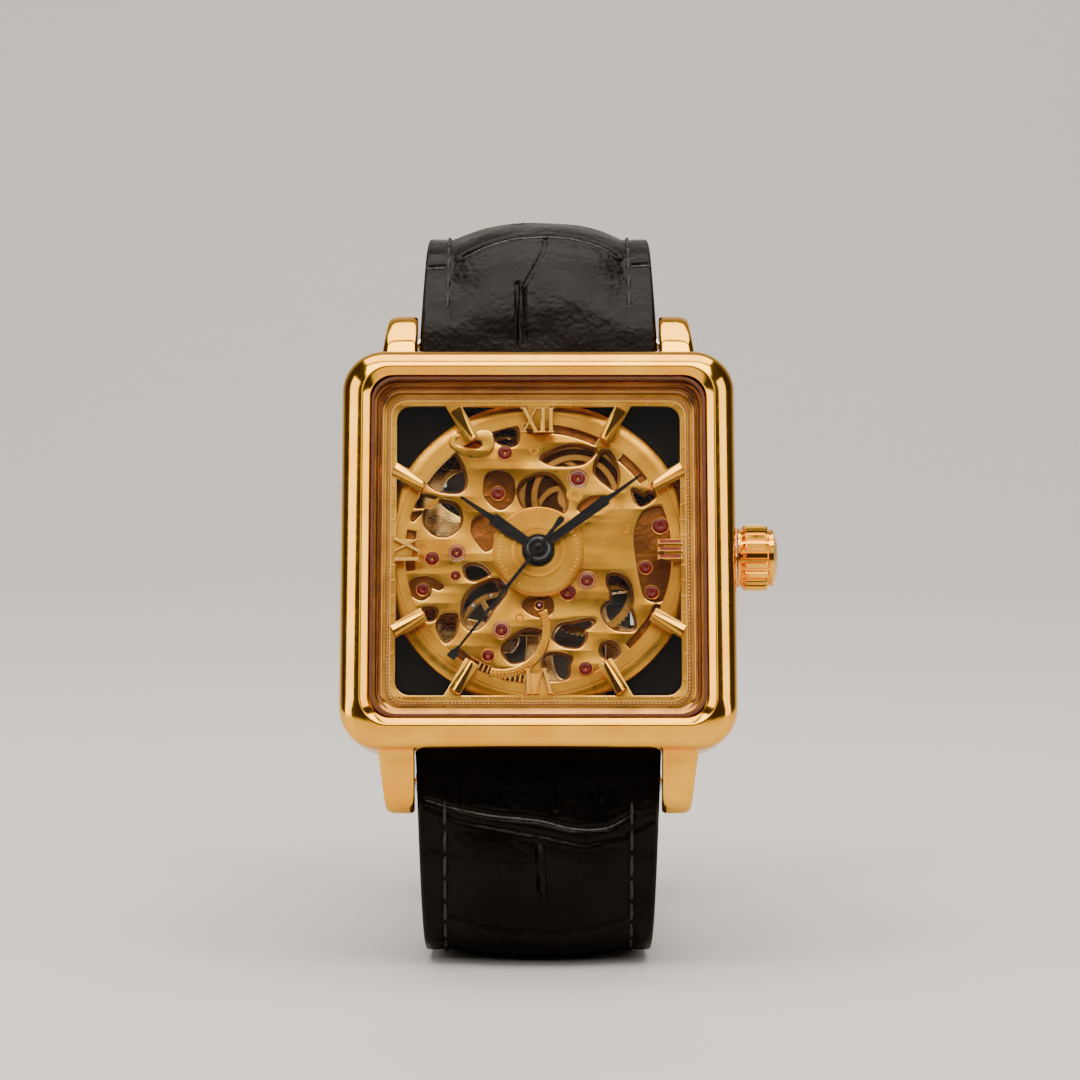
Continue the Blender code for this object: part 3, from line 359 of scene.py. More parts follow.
def plain(name, slot, clouds, dark, light, wear, rough, relief=None, **values):
    """Two close colours in clouds, and uneven gloss; clouds and wear are (scale, detail) of their noise."""
    look = Look(name, slot, **values)
    look.colours(look.noise(*clouds), (0.3, dark), (0.7, light))
    look.spread(look.noise(*wear), *rough)
    if relief:
        scale, detail, depth = relief
        look.bump(look.noise(scale, detail), depth)
    return look.material


def leather(name, dark, light, rough, grain):
    """Leather with pebbled grain, fine wrinkles and a slightly uneven finish."""
    look = Look(name, "black_leather", IOR=1.22)
    look.colours(look.noise(140, 6), (0.3, dark), (0.7, light))
    look.spread(look.noise(420, 6), *rough)
    bent = look.place()
    cells = look.node("ShaderNodeTexVoronoi", [("Vector", bent)], Scale=1900, Randomness=1.0)
    cells.feature = "SMOOTH_F1"
    look.bump(cells.outputs["Distance"], 0.05 * grain, 0.6)
    look.bump(look.noise(900, 8), 0.09 * grain, 0.5)
    look.bump(look.noise(260, 4, look.place((1, 0.4, 0.4))), 0.12 * grain, 0.5)
    return look.material


def thread_radius(t, thick):
    """Radius of a stitch along it: t runs from 0 to 1, and both ends are drawn in."""
    return 0.05 + thick * math.sin(math.pi * min(max(t, 0.08), 0.92)) ** 0.5


def thread(name, dark, light):
    """Twisted thread; the pale one also paints highlights along the lips of creases."""
    look = Look(name, "black_leather")
    look.colours(look.noise(3000, 3), (0.3, dark), (0.7, light))
    look.spread(look.noise(2000), 0.55, 0.75)
    wave = look.node("ShaderNodeTexWave", [("Vector", look.place((1, 1, 1), (0.6, 0.6, 0)))], Scale=2600)
    look.bump(wave.outputs["Fac"], 0.03)
    return look.material


HEAD_TURN = (-math.radians(90 - 18.5), 0, 0)
POLISHED = gold("polished_gold", "polished_gold", (0.92, 0.41, 0.03), (1.0, 0.51, 0.05), (0.07, 0.13))
# A lighter copy of the gold that paints highlights: bevelled edges, teeth, numerals, beads and settings in it
# read as lit.
PAINTED_HIGHLIGHT_GOLD = gold("painted_highlight_gold", "polished_gold", (1.0, 0.54, 0.08), (1.0, 0.64, 0.15), (0.1, 0.18))
# A darker copy of the gold that paints the shade on the recessed steps under the glass and on the dial
# frame's outer rim.
STEP_SHADE_GOLD = gold("step_shade_gold", "polished_gold", (0.34, 0.135, 0.03), (0.52, 0.23, 0.05), (0.12, 0.2))
SATIN = gold("satin_gold", "satin_gold", (0.66, 0.28, 0.015), (1.0, 0.50, 0.04), (0.26, 0.4), 0.012, 0.015,
             waves=0.07)
# A dark copy of the satin gold that paints the shade in recesses: pocket floors, the walls of pockets and
# openings, and the floor under the deck.
RECESS_SHADE_GOLD = gold("recess_shade_gold", "satin_gold", (0.12, 0.035, 0.007), (0.38, 0.12, 0.018), (0.3, 0.5), 0.01, 0.08)
# A near-black copy of the gold that paints the shade in the barrel drum's troughs between its rings.
SHADED = gold("shaded_gold", "satin_gold", (0.035, 0.012, 0.004), (0.12, 0.042, 0.01), (0.35, 0.55), 0.01,
              0.04)
BRASS = gold("brass", "brass", (0.40, 0.17, 0.025), (0.66, 0.31, 0.055), (0.24, 0.36), 0.004, 0.0, (1, 9, 1),
             HEAD_TURN)
PINK = gold("pink_gold", "polished_gold", (0.86, 0.56, 0.42), (0.95, 0.68, 0.54), (0.1, 0.16))
STEEL = steel("polished_steel", 0.55, 0.72)
# Grey steel that paints the pale ring of highlight on the black hub of the minute hand.
RING_HIGHLIGHT_STEEL = steel("ring_highlight_steel", 0.07, 0.14)
BLACK = plain(
    "hand_black", "black_polish", (900, 4), (0.004, 0.004, 0.005), (0.012, 0.011, 0.011),
    (3000, 4), (0.1, 0.2), (6000, 2, 0.001), IOR=1.25,
)
HOLDER = plain(
    "holder_black", "black_polish", (1500, 4), (0.004, 0.0025, 0.0015), (0.009, 0.005, 0.003),
    (3000, 4), (0.45, 0.6), (8000, 3, 0.01), IOR=1.18,
)
BLUED = plain(
    "blued_steel", "blued_spring", (1200, 4), (0.05, 0.07, 0.2), (0.12, 0.14, 0.34),
    (4000, 4), (0.18, 0.32), Metallic=1.0,
)
RUBY = plain(
    "ruby", None, (2500, 3), (0.09, 0.001, 0.001), (0.24, 0.003, 0.002),
    (5000, 4), (0.06, 0.16), IOR=1.4, Coat_Weight=0.05,
)
ENAMEL = plain(
    "red_enamel", None, (2500, 3), (0.26, 0.012, 0.006), (0.42, 0.03, 0.012),
    (5000, 4), (0.2, 0.35), Coat_Weight=0.3,
)
GLASS = plain(
    "sapphire_glass", "sapphire", (60, 2), (0.03, 0.034, 0.04), (0.04, 0.044, 0.05),
    (120, 4), (0.015, 0.05), IOR=1.77, Alpha=0.06,
)
RUBBER = plain(
    "gasket_rubber", "gasket", (1500, 4), (0.10, 0.026, 0.008), (0.16, 0.045, 0.014),
    (2500, 4), (0.5, 0.7), (7000, 4, 0.01),
)
LEATHER = leather("black_leather", (0.003, 0.0024, 0.002), (0.008, 0.006, 0.005), (0.24, 0.38), 1.3)
LINING = leather("lining_leather", (0.02, 0.013, 0.009), (0.05, 0.032, 0.022), (0.5, 0.65), 0.5)
PAINTED = leather("painted_edge", (0.006, 0.004, 0.004), (0.014, 0.010, 0.009), (0.35, 0.5), 0.25)
THREAD = thread("dark_thread", (0.010, 0.009, 0.008), (0.045, 0.04, 0.036))
# Pale thread that paints highlights along the lips of the strap's creases.
CREASE_HIGHLIGHT = thread("crease_highlight_leather", (0.035, 0.032, 0.03), (0.16, 0.15, 0.14))

# ---------------------------------------------------------------- case

CASE_LOW, CASE_HIGH = head_box("case_middle")
BEZEL_LOW, BEZEL_HIGH = head_box("bezel")
CORNER = 4.1
OPENING_INSET = 2.85


def frame_rings(profile, half, corner, shrink=0.66, steps=12):
    """Rounded rectangles for (inset, z) pairs; the corner radius falls with the inset."""
    rings = []
    for inset, z in profile:
        sizes = (half[0] - inset, half[1] - inset, max(corner - inset * shrink, 0.4))
        rings.append(at_level(rounded_rectangle(sizes, steps), z))
    return rings


def bezel():
    """A pillow section: rounded outer shoulder, a crest near the opening and a steep inner chamfer."""
    top = BEZEL_HIGH.z
    low = BEZEL_LOW.z
    shoulder = [
        (0.5, low), (0.12, low + 0.25), (0.0, low + 0.75), (0.08, top - 1.75), (0.36, top - 1.12),
        (0.85, top - 0.62), (1.45, top - 0.24), (2.0, top),
    ]
    profile = [tuple(p) for p in smooth_open(shoulder, 4)]
    profile += [(2.08, top - 0.01), (2.16, top - 0.05), (2.72, top - 0.42), (2.82, top - 0.5)]
    profile += [(OPENING_INSET, top - 0.6), (OPENING_INSET, low)]
    bm = bmesh.new()
    loft(bm, frame_rings(profile, BEZEL_HIGH, CORNER), closed=True)
    piece("bezel_gold", bm, [POLISHED], "root", ["bezel"], sharp=50)


def case_body():
    """The case ring under the bezel, and four lugs that curve down to rounded tips."""
    bm = bmesh.new()
    half = (BEZEL_HIGH.x - 0.4, BEZEL_HIGH.y - 0.45)
    back = -3.2
    front = 0.8
    profile = [(2.7, back), (0.3, back), (0.08, back + 0.1), (0.0, back + 0.35)]
    profile += [(0.0, front - 0.4), (0.1, front - 0.12), (0.35, front), (2.7, front)]
    loft(bm, frame_rings(profile, half, 3.8, shrink=0.1), closed=True)
    for side_x in (-1, 1):
        for side_y in (-1, 1):
            lug(bm, side_x, side_y)
    rings = []
    for x, radius in ((18.4, 0.98), (19.3, 0.98), (19.38, 0.9), (19.38, 0.7)):
        rings.append([(x, y, z - 2.2) for y, z in circle(radius, 24)])
    loft(bm, rings)
    piece("case_gold", bm, [POLISHED], "root", ["case_middle"], sharp=50)


def lug(bm, side_x, side_y):
    """One lug: its side view, drawn in towards both flanks so that its edges are rounded."""
    base = BEZEL_HIGH.y - 1.2
    tip = CASE_HIGH.y
    inner = 12.05
    profile = [
        (base, 0.75), (base + 1.6, 0.6), (base + 3.0, 0.1), (base + 4.3, -0.75), (tip - 0.75, -1.9),
        (tip - 0.12, -3.1), (tip, -3.9), (tip - 0.3, -4.75), (tip - 1.1, -5.2), (tip - 3.0, -5.25),
        (tip - 4.9, -4.3), (base + 0.8, -3.1), (base, -3.0),
    ]
    smooth = smooth_closed(profile, 3)
    middle = Vector((sum(p.x for p in smooth), sum(p.y for p in smooth))) / len(smooth)
    rings = []
    steps = ((0.0, 0.90), (0.02, 0.94), (0.07, 0.98), (0.15, 1.0), (0.62, 1.0), (0.78, 0.985),
             (0.9, 0.945), (0.97, 0.89), (1.0, 0.83))
    for depth, shrink in steps:
        ring = []
        for point in smooth:
            outer = 15.6 - 0.7 * (point.x - base) / (tip - base)
            x = inner + (outer - inner) * depth
            at = middle + (point - middle) * shrink
            ring.append((side_x * x, side_y * at.x, at.y))
        rings.append(ring)
    loft(bm, rings)


def crown():
    """A fluted crown: a flange, flat-topped ridges with pointed starts, a groove and a conical cap."""
    flutes = 20
    across = ((0.0, 1.0), (0.12, 1.0), (0.2, 0.35), (0.3, 0.0), (0.7, 0.0), (0.8, 0.35), (0.88, 1.0))
    levels = [
        (19.5, 2.6, 0), (19.52, 2.85, 0), (19.6, 2.95, 0), (19.78, 2.95, 0), (19.86, 2.8, 0),
        (19.93, 2.82, 0.02), (20.25, 3.2, 0.3), (20.4, 3.25, 0.34), (22.2, 3.25, 0.34), (22.45, 3.2, 0.3),
        (22.6, 2.95, 0.06), (22.66, 2.75, 0), (22.76, 2.75, 0), (22.8, 2.88, 0), (23.05, 2.85, 0),
        (23.2, 2.55, 0), (23.42, 1.9, 0), (23.5, 1.6, 0), (23.54, 0.9, 0), (23.55, 0.2, 0),
    ]
    rings = []
    for x, radius, depth in levels:
        ring = []
        for i in range(flutes):
            for share, sunk in across:
                ring.append((x, *polar(radius - depth * sunk, 360 * (i + share) / flutes)))
        rings.append(ring)
    bm = bmesh.new()
    loft(bm, rings)
    bmesh.ops.translate(bm, verts=bm.verts, vec=(0, 0, head_box("winding_stem")[0].z + 0.6))
    piece("crown_gold", bm, [POLISHED], "crown", ["crown"], sharp=40)


def glass_and_gasket():
    half = (BEZEL_HIGH.x - OPENING_INSET - 0.06, BEZEL_HIGH.y - OPENING_INSET - 0.06)
    low, high = head_box("crystal")
    bm = bmesh.new()
    levels = [(0.36, low.z), (0.34, low.z + 0.04), (0.34, high.z - 0.14), (0.5, high.z)]
    loft(bm, frame_rings(levels, half, 2.5, 1.0))
    piece("crystal_glass", bm, [GLASS], "root", ["crystal"])
    bm = bmesh.new()
    section = [(0.32, low.z), (0.0, low.z), (0.0, high.z - 0.3), (0.06, high.z - 0.22), (0.32, high.z - 0.22)]
    loft(bm, frame_rings(section, half, 2.5, 1.0), closed=True)
    piece("gasket_ring", bm, [RUBBER], "root", ["crystal_gasket"])


def flange_and_beads():
    """Steps between the glass and the dial frame, and the row of beads along their foot."""
    half = (BEZEL_HIGH.x - OPENING_INSET - 0.08, BEZEL_HIGH.y - OPENING_INSET - 0.08)
    bm = bmesh.new()
    profile = [
        (1.2, 1.3), (0.0, 1.3), (0.0, 2.7), (0.42, 2.7), (0.46, 2.62), (0.5, 2.36), (0.66, 2.3),
        (0.7, 2.24), (0.74, 2.0), (0.9, 1.95), (0.94, 1.9), (0.98, 1.7), (1.16, 1.62), (1.2, 1.58),
    ]
    loft(bm, frame_rings(profile, half, 2.6, 0.7, 8), closed=True)
    # The steps are in the darker gold as painted shade.
    piece("flange_gold", bm, [STEP_SHADE_GOLD], "root", ["flange_ring"], sharp=25)
    bm = bmesh.new()
    track = [Vector(p) for p in rounded_rectangle((14.7, 15.3, 1.5), 6)]
    for at in along(track + track[:1], 0.36):
        bead(bm, (at.x, at.y, 1.29), 0.135)
    piece("bead_track", bm, [PAINTED_HIGHLIGHT_GOLD], "root", sharp=180)


def along(points, step):
    """Points evenly spaced along a polyline."""
    made = []
    carried = 0.0
    for start, end in zip(points, points[1:]):
        length = (end - start).length
        while carried < length:
            made.append(start.lerp(end, carried / length))
            carried += step
        carried -= length
    return made


def case_back():
    """The back: rounded towards its edge, with a round window, two fine rings and four screws."""
    low, high = head_box("case_back")
    half = (high.x, high.y)
    top = high.z
    inner = 13.0
    bm = bmesh.new()
    steps = 12
    rings = []
    profile = [
        (0.0, top), (0.0, top - 1.2), (0.12, top - 1.5), (0.5, top - 2.1), (0.9, top - 2.55), (1.25, low.z),
    ]
    for inset, z in profile:
        sizes = (half[0] - inset, half[1] - inset, 3.7 - inset * 0.5)
        rings.append(at_level(rounded_rectangle(sizes, steps), z))
    window = [
        (13.6, low.z), (13.5, low.z), (inner + 0.1, low.z + 0.02), (inner, low.z + 0.12),
        (inner, low.z + 0.3), (14.05, low.z + 0.3), (14.05, -4.93), (15.1, -4.88), (15.1, top),
    ]
    for radius, z in window:
        rings.append(at_level(rounded_rectangle((radius, radius, radius - 0.001), steps), z))
    loft(bm, rings, closed=True)
    for line in (13.9, 14.5):
        far = line + 0.12
        turned(bm, [(line, low.z + 0.02), (line, low.z), (far, low.z), (far, low.z + 0.02)], 96)
    back = piece("case_back_gold", bm, [POLISHED, SATIN], "root", ["case_back"], sharp=30)
    for index in range(1, 5):
        screw(f"back_screw_{index}", f"case_back_screw_{index}", back)


def slotted_head(bm, at, radius, gap, steps, front, back, bevel, index=0):
    """The two halves of a screw head beside its slot; gap is where the slot meets the rim, in degrees."""
    for side in (-1, 1):
        half = [(at[0] + x, at[1] + side * y) for x, y in arc(radius, gap, 180 - gap, steps)]
        plate(bm, [half], front, back, bevel, index=index, edge_index=index)


def screw(name, node, back):
    """A screw with a slotted head in its own hole, facing out of the back."""
    low, high = head_box(node)
    at = ((low.x + high.x) / 2, (low.y + high.y) / 2)
    radius = (high.x - low.x) / 2
    face = low.z
    hole = bmesh.new()
    loft(hole, [at_level(circle(radius + 0.1, 32, at), z) for z in (face - 1.0, face + 0.5)])
    cut_through(back, hole, HEAD)
    bm = bmesh.new()
    slotted_head(bm, at, radius, 9, 16, face + 0.3, face, 0.07)
    turned(bm, [(0.0, face + 0.2), (radius, face + 0.2), (radius, face + 0.46), (0.42, face + 0.46),
                (0.42, high.z), (0.0, high.z)], 24, at)
    piece(name, bm, [STEEL], "root", [node])


# ---------------------------------------------------------------- dial


def hour_direction(hour):
    turn = math.radians(hour * 30)
    return Vector((math.sin(turn), math.cos(turn)))


def window_outline():
    """The dial frame's window: a tab at each hour, and chamfered corners between them."""
    half = (13.9, 14.5)
    window = []
    for hour in range(1, 13):
        wide = hour % 3 == 0
        half_width = 1.1 if wide else 0.72
        tab_end = 12.3 if wide else 12.85
        out = hour_direction(hour)
        across = Vector((out.y, -out.x))
        for side, inner in ((-1, False), (-1, True), (1, True), (1, False)):
            start = across * half_width * side
            reach = tab_end
            if not inner:
                to_x = (half[0] - start.x * math.copysign(1, out.x)) / max(abs(out.x), 1e-9)
                to_y = (half[1] - start.y * math.copysign(1, out.y)) / max(abs(out.y), 1e-9)
                reach = min(to_x, to_y)
            window.append(start + out * reach)
        if hour % 3 == 1:
            toward = hour_direction(hour + 0.5)
            corner = (math.copysign(half[0] - 1.4, toward.x), math.copysign(half[1] - 1.4, toward.y))
            middle = {1: 45, 4: -45, 7: -135, 10: 135}[hour]
            window += [Vector(p) for p in arc(1.4, middle + 45, middle - 45, 8, corner)]
    return window


def dial_frame():
    low, high = head_box("dial_frame")
    outer = rounded_rectangle((high.x, high.y, 2.4), 8)
    bm = bmesh.new()
    plate(bm, [outer, window_outline()], high.z, low.z, 0.08, 2, edge_index=1)
    # Of the two rims, the inner one takes the lighter gold as painted highlight and the outer one the darker
    # gold as painted shade.
    for reach, wide, rise, index in ((14.52, 0.12, 0.1, 1), (14.92, 0.4, 0.02, 2)):
        rim_out = rounded_rectangle((reach, reach + 0.6, 1.6), 8)
        rim_in = rounded_rectangle((reach - wide, reach + 0.6 - wide, 1.6 - wide), 8)
        plate(bm, [rim_out, rim_in], high.z + rise, high.z - 0.02, 0.01, 1, index, index)
    for minute in range(60):
        if minute % 5 == 0:
            continue
        out = hour_direction(minute / 5)
        reach = min(14.42 / max(abs(out.x), 1e-9), 15.02 / max(abs(out.y), 1e-9))
        bar(bm, out * (reach - 0.5), out * reach, 0.13, high.z - 0.02, high.z + 0.12, 0.03, 1)
    piece("dial_frame_gold", bm, [SATIN, PAINTED_HIGHLIGHT_GOLD, STEP_SHADE_GOLD], "root", ["dial_frame"])


def hour_marker(hour):
    """A ridged wedge: two polished slopes, steep sides and a rounded inner end."""
    out = hour_direction(hour)
    across = Vector((out.y, -out.x))
    base = 1.26
    rings = []
    for reach, half, top in ((12.75, 0.08, 1.4), (12.8, 0.2, 1.56), (12.92, 0.28, 1.66), (13.2, 0.31, 1.72),
                             (16.3, 0.55, 1.86), (16.4, 0.5, 1.7)):
        section = [(-1.0, base), (1.0, base), (1.0, top - 0.16), (0.72, top - 0.1), (0.0, top),
                   (-0.72, top - 0.1), (-1.0, top - 0.16)]
        ring = []
        for side, z in section:
            at = out * reach + across * half * side
            ring.append((at.x, at.y, z))
        rings.append(ring)
    bm = bmesh.new()
    loft(bm, rings)
    piece(f"marker_{hour}", bm, [POLISHED], "root", [f"hour_marker_{hour}"], sharp=20)


def numeral(hour, strokes, serif_halves, radius, inlaid=False):
    """Strokes, given as (x at foot, x at head, width), between serifs; their feet point to the centre."""
    bm = bmesh.new()
    half_height = 1.25
    low = 1.26
    high = 1.72
    for foot, head, width in strokes:
        bar(bm, (foot, -half_height), (head, half_height), width, low, high - (0.06 if width < 0.2 else 0))
        if inlaid:
            bar(bm, (foot, -half_height + 0.2), (head, half_height - 0.2), 0.26, high - 0.02, high + 0.03,
                0.02, 1)
        for x, y in ((foot, -half_height + 0.05), (head, half_height - 0.05)):
            bar(bm, (x - serif_halves, y), (x + serif_halves, y), 0.14, low, high - 0.08, 0.03)
    at = hour_direction(hour) * radius
    place = Matrix.Translation((at.x, at.y, 0)) @ Matrix.Rotation(math.radians(-hour * 30), 4, "Z")
    # The numerals are in the lighter gold, a painted highlight that sets them off the ring.
    piece(f"numeral_gold_{hour}", bm, [PAINTED_HIGHLIGHT_GOLD, ENAMEL], "root", [f"numeral_{hour}"], before=place)


def dial():
    dial_frame()
    for hour in (1, 2, 4, 5, 7, 8, 10, 11):
        hour_marker(hour)
    thick = 0.4
    thin = 0.2
    twelve = [(-1.45, -0.2, thin), (-0.2, -1.45, thick), (0.45, 0.45, thick), (1.25, 1.25, thick)]
    numeral(12, twelve, 0.34, 13.1)
    numeral(3, [(-0.75, -0.75, thick), (0.0, 0.0, thick), (0.75, 0.75, thick)], 0.3, 12.9, True)
    numeral(6, [(-0.55, -1.2, thick), (-0.45, 0.2, thin), (1.0, 1.0, thick)], 0.34, 13.1)
    numeral(9, [(-0.95, -0.95, thick), (-0.2, 1.15, thick), (1.15, -0.2, thin)], 0.3, 12.9)


def hand(widths, level, hub):
    """A flat hand with a hub: widths are (reach, half width) pairs along it."""
    right = [(half, reach) for reach, half in widths]
    left = [(-half, reach) for reach, half in reversed(widths)]
    bm = bmesh.new()
    plate(bm, [right + left], level, level - 0.18, 0.03, 1)
    turned(bm, [(0.0, level - 0.2), (hub, level - 0.2), (hub, level - 0.04), (hub - 0.06, level + 0.03),
                (0.0, level + 0.03)], 48)
    return bm


# Degrees from 12 o'clock of the hour, minute and seconds hands
HANDS_AT = (305.0, 53.6, 217.9)


def hands():
    hour_turn, minute_turn, second_turn = (
        Matrix.Rotation(math.radians(-degrees), 4, "Z") for degrees in HANDS_AT
    )
    widths = [(0.4, 0.34), (2.0, 0.5), (5.45, 0.62), (5.6, 0.3), (9.2, 0.13), (9.33, 0.04)]
    bm = hand(widths, 1.5, 1.6)
    piece("hour_hand_black", bm, [BLACK], "hour", ["hour_hand"], before=hour_turn)
    widths = [(0.4, 0.3), (2.0, 0.42), (8.3, 0.54), (8.42, 0.26), (12.4, 0.11), (12.56, 0.04)]
    bm = hand(widths, 2.0, 1.42)
    # The raised ring on the hub is real; its grey steel is a painted highlight on the black hub.
    turned(bm, [(0.82, 1.98), (1.16, 1.98), (1.14, 2.06), (1.06, 2.11), (0.92, 2.11), (0.84, 2.06)], 48,
           index=1)
    piece("minute_hand_black", bm, [BLACK, RING_HIGHLIGHT_STEEL], "minute", ["minute_hand"], before=minute_turn)
    widths = [(-3.9, 0.2), (-3.6, 0.36), (-2.6, 0.2), (0.0, 0.2), (12.3, 0.12), (12.7, 0.14),
              (13.2, 0.42), (13.9, 0.46)]
    bm = hand(widths, 2.33, 0.62)
    dome = [(0.0, 2.2)] + [(0.5 * math.cos(math.radians(t)), 2.34 + 0.28 * math.sin(math.radians(t)))
                           for t in range(0, 91, 10)]
    turned(bm, dome, 40)
    piece("seconds_hand_black", bm, [BLACK], "seconds", ["seconds_hand"], before=second_turn)


# ---------------------------------------------------------------- main plate

BARREL_AT = joint_at("barrel_turn")
THIRD_AT = joint_at("third_wheel_turn")
ESCAPE_AT = joint_at("escape_wheel_turn")
BALANCE_AT = joint_at("balance_swing")
PALLET_AT = joint_at("pallet_rock")
CROWN_WHEEL_AT = joint_at("crown_wheel_turn")
DECK = 0.0
FLOOR = -0.4
PLATE_BACK = -0.9
INNER_RING = 13.1

# Openings right through the plate, as smooth closed outlines
OPENINGS = {
    "leaf_10": [(-11.1, 7.5), (-10.4, 8.6), (-9.4, 9.7), (-8.6, 10.2), (-7.8, 9.2), (-7.3, 7.9), (-7.3, 6.8),
                (-7.8, 6.2), (-9.0, 6.2), (-10.1, 6.5)],
    "sliver_10": [(-12.1, 5.3), (-11.6, 5.8), (-10.7, 5.7), (-10.1, 5.4), (-10.7, 4.9), (-12.0, 4.7)],
    "teardrop": [(-1.9, 6.1), (-1.5, 7.1), (-0.6, 7.7), (0.2, 8.0), (1.0, 7.9), (1.8, 7.3), (2.4, 6.4),
                 (2.7, 5.3), (2.6, 4.4), (2.0, 3.7), (1.0, 3.5), (0.2, 3.9), (-0.6, 3.9), (-1.4, 4.7)],
    "notch_11": [(-4.4, 12.2), (-2.3, 12.7), (-2.3, 11.0), (-3.9, 11.2)],
    "lens_1": [(0.3, 9.5), (1.0, 10.1), (2.2, 10.7), (3.6, 10.9), (5.0, 10.6), (5.6, 10.3), (4.7, 9.3),
               (3.8, 9.0), (2.4, 8.9), (1.3, 9.0)],
    "leaf_1": [(5.6, 8.4), (6.1, 9.9), (6.6, 10.3), (7.2, 9.7), (7.7, 8.5), (7.8, 7.5), (7.5, 6.5),
               (6.8, 6.9), (6.1, 7.5)],
    "slot_2": [(9.3, 6.3), (9.8, 6.1), (10.4, 5.8), (10.9, 6.1), (11.4, 5.7), (10.4, 4.9), (9.8, 5.0)],
    "wide_7": [(-7.4, -6.6), (-7.3, -5.1), (-6.6, -3.8), (-5.6, -3.1), (-4.3, -2.7), (-3.2, -3.1),
               (-3.3, -4.0), (-3.9, -4.9), (-4.7, -6.0), (-5.3, -7.0), (-6.2, -7.6), (-6.9, -7.5)],
    "lens_8": [(-7.2, -1.6), (-6.9, -1.2), (-5.8, -1.2), (-5.1, -1.7), (-4.9, -2.1), (-5.4, -2.4),
               (-6.2, -2.7), (-6.9, -2.5)],
    "kidney_7": [(-9.5, -8.2), (-9.8, -7.2), (-9.3, -6.4), (-8.6, -6.2), (-8.0, -6.4), (-8.1, -7.5),
                 (-8.4, -8.3), (-9.0, -8.9)],
    "shell_6": [(-3.4, -9.9), (-3.2, -9.2), (-2.2, -8.3), (-1.2, -7.7), (0.1, -7.8), (0.3, -8.3), (0.1, -9.2),
                (-0.7, -10.2), (-1.7, -10.8), (-2.7, -10.9)],
    "comma_4": [(6.9, -2.5), (7.3, -2.1), (8.2, -2.4), (8.9, -3.4), (9.1, -4.7), (9.0, -5.6), (9.3, -6.6),
                (9.3, -7.6), (8.4, -7.7), (7.3, -7.5), (6.6, -6.7), (6.3, -5.8), (6.7, -5.1), (7.1, -4.8),
                (7.2, -3.9), (6.9, -3.2)],
    "bean_5": [(1.5, -8.3), (2.0, -7.3), (3.3, -7.0), (4.7, -6.7), (5.4, -6.8), (5.0, -7.4), (4.5, -7.7),
               (4.6, -8.3), (4.3, -9.0), (3.8, -9.4), (2.6, -9.3), (1.8, -8.9)],
    "arch_6": [(0.5, -10.8), (0.9, -10.2), (2.0, -10.1), (3.1, -10.5), (2.9, -11.3), (2.7, -12.5),
               (0.9, -12.6), (0.6, -12.0)],
}
ROUND_OPENINGS = [((-9.4, 3.5), 1.75), ((7.0, -9.8), 0.85), ((-10.6, -6.1), 0.62)]

# Recesses in the front face only
POCKETS = [
    [(-5.4, 6.8), (-5.1, 7.9), (-4.2, 8.4), (-3.2, 8.2), (-2.5, 7.5), (-2.3, 6.6), (-2.4, 5.6), (-2.8, 4.8),
     (-3.7, 4.3), (-4.7, 4.8), (-5.3, 5.7)],
    [(3.8, 4.4), (4.4, 5.2), (5.4, 5.7), (6.6, 5.6), (6.8, 5.2), (6.2, 4.5), (5.4, 4.1), (4.4, 4.0)],
    [(-12.5, 4.0), (-11.5, 4.2), (-11.8, 3.6), (-12.4, 3.1)],
    [(-12.7, -3.3), (-12.2, -2.6), (-11.3, -2.3), (-10.6, -2.4), (-9.8, -2.9), (-9.3, -3.4), (-9.7, -3.8),
     (-10.4, -3.6), (-10.7, -4.4), (-11.4, -4.8), (-12.3, -4.4)],
    [(-1.6, -5.3), (-0.9, -4.4), (0.2, -4.0), (1.1, -4.4), (1.5, -5.3), (1.2, -6.2), (0.1, -6.5),
     (-1.0, -6.1)],
    [(-6.3, 3.4), (-5.2, 4.0), (-4.4, 3.6), (-4.0, 2.6), (-4.5, 1.6), (-4.4, 0.6), (-5.2, 0.1), (-6.0, 0.9),
     (-6.6, 2.2)],
    [(9.7, 3.0), (10.5, 4.3), (12.2, 4.7), (13.1, 2.4), (13.3, 0.0), (13.0, -2.8), (12.2, -4.8), (10.6, -4.7),
     (10.0, -3.0), (9.6, -0.5), (9.4, 1.5)],
]

# Curved recesses beside the rim, as (start, end, inner radius)
CHANNELS = [
    (35, 50, 12.2), (63, 96, 12.2), (114, 126, 12.2), (170, 188, 12.2), (230, 267, 12.3), (313, 336, 12.5),
]

# Jewels as (place, radius, number of polished rings)
JEWELS = [
    ((-3.3, 10.1), 0.62, 1), ((-4.0, 6.1), 0.62, 1), ((3.9, 7.5), 0.66, 2), ((12.0, 2.8), 0.74, 1),
    (THIRD_AT, 0.56, 2), ((2.9, -4.0), 0.72, 1), ((10.5, -1.4), 0.6, 1), ((11.1, -3.9), 0.6, 1),
    ((4.6, -11.6), 0.6, 1), (BALANCE_AT, 0.56, 2), ((-4.9, -10.3), 0.52, 1), ((-8.0, 0.0), 0.52, 2),
    ((-10.4, -0.6), 0.62, 1), ((-8.1, -2.3), 0.42, 1), ((-11.3, -3.6), 0.56, 1), (ESCAPE_AT, 0.36, 1),
]


def level_at(at):
    """The plate's height at a jewel: the deck, or the floor of a pocket."""
    for outline in POCKETS:
        inside = False
        for (x0, y0), (x1, y1) in zip(outline, outline[1:] + outline[:1]):
            if (y0 > at[1]) != (y1 > at[1]) and at[0] < (x1 - x0) * (at[1] - y0) / (y1 - y0) + x0:
                inside = not inside
        if inside:
            return FLOOR
    return DECK


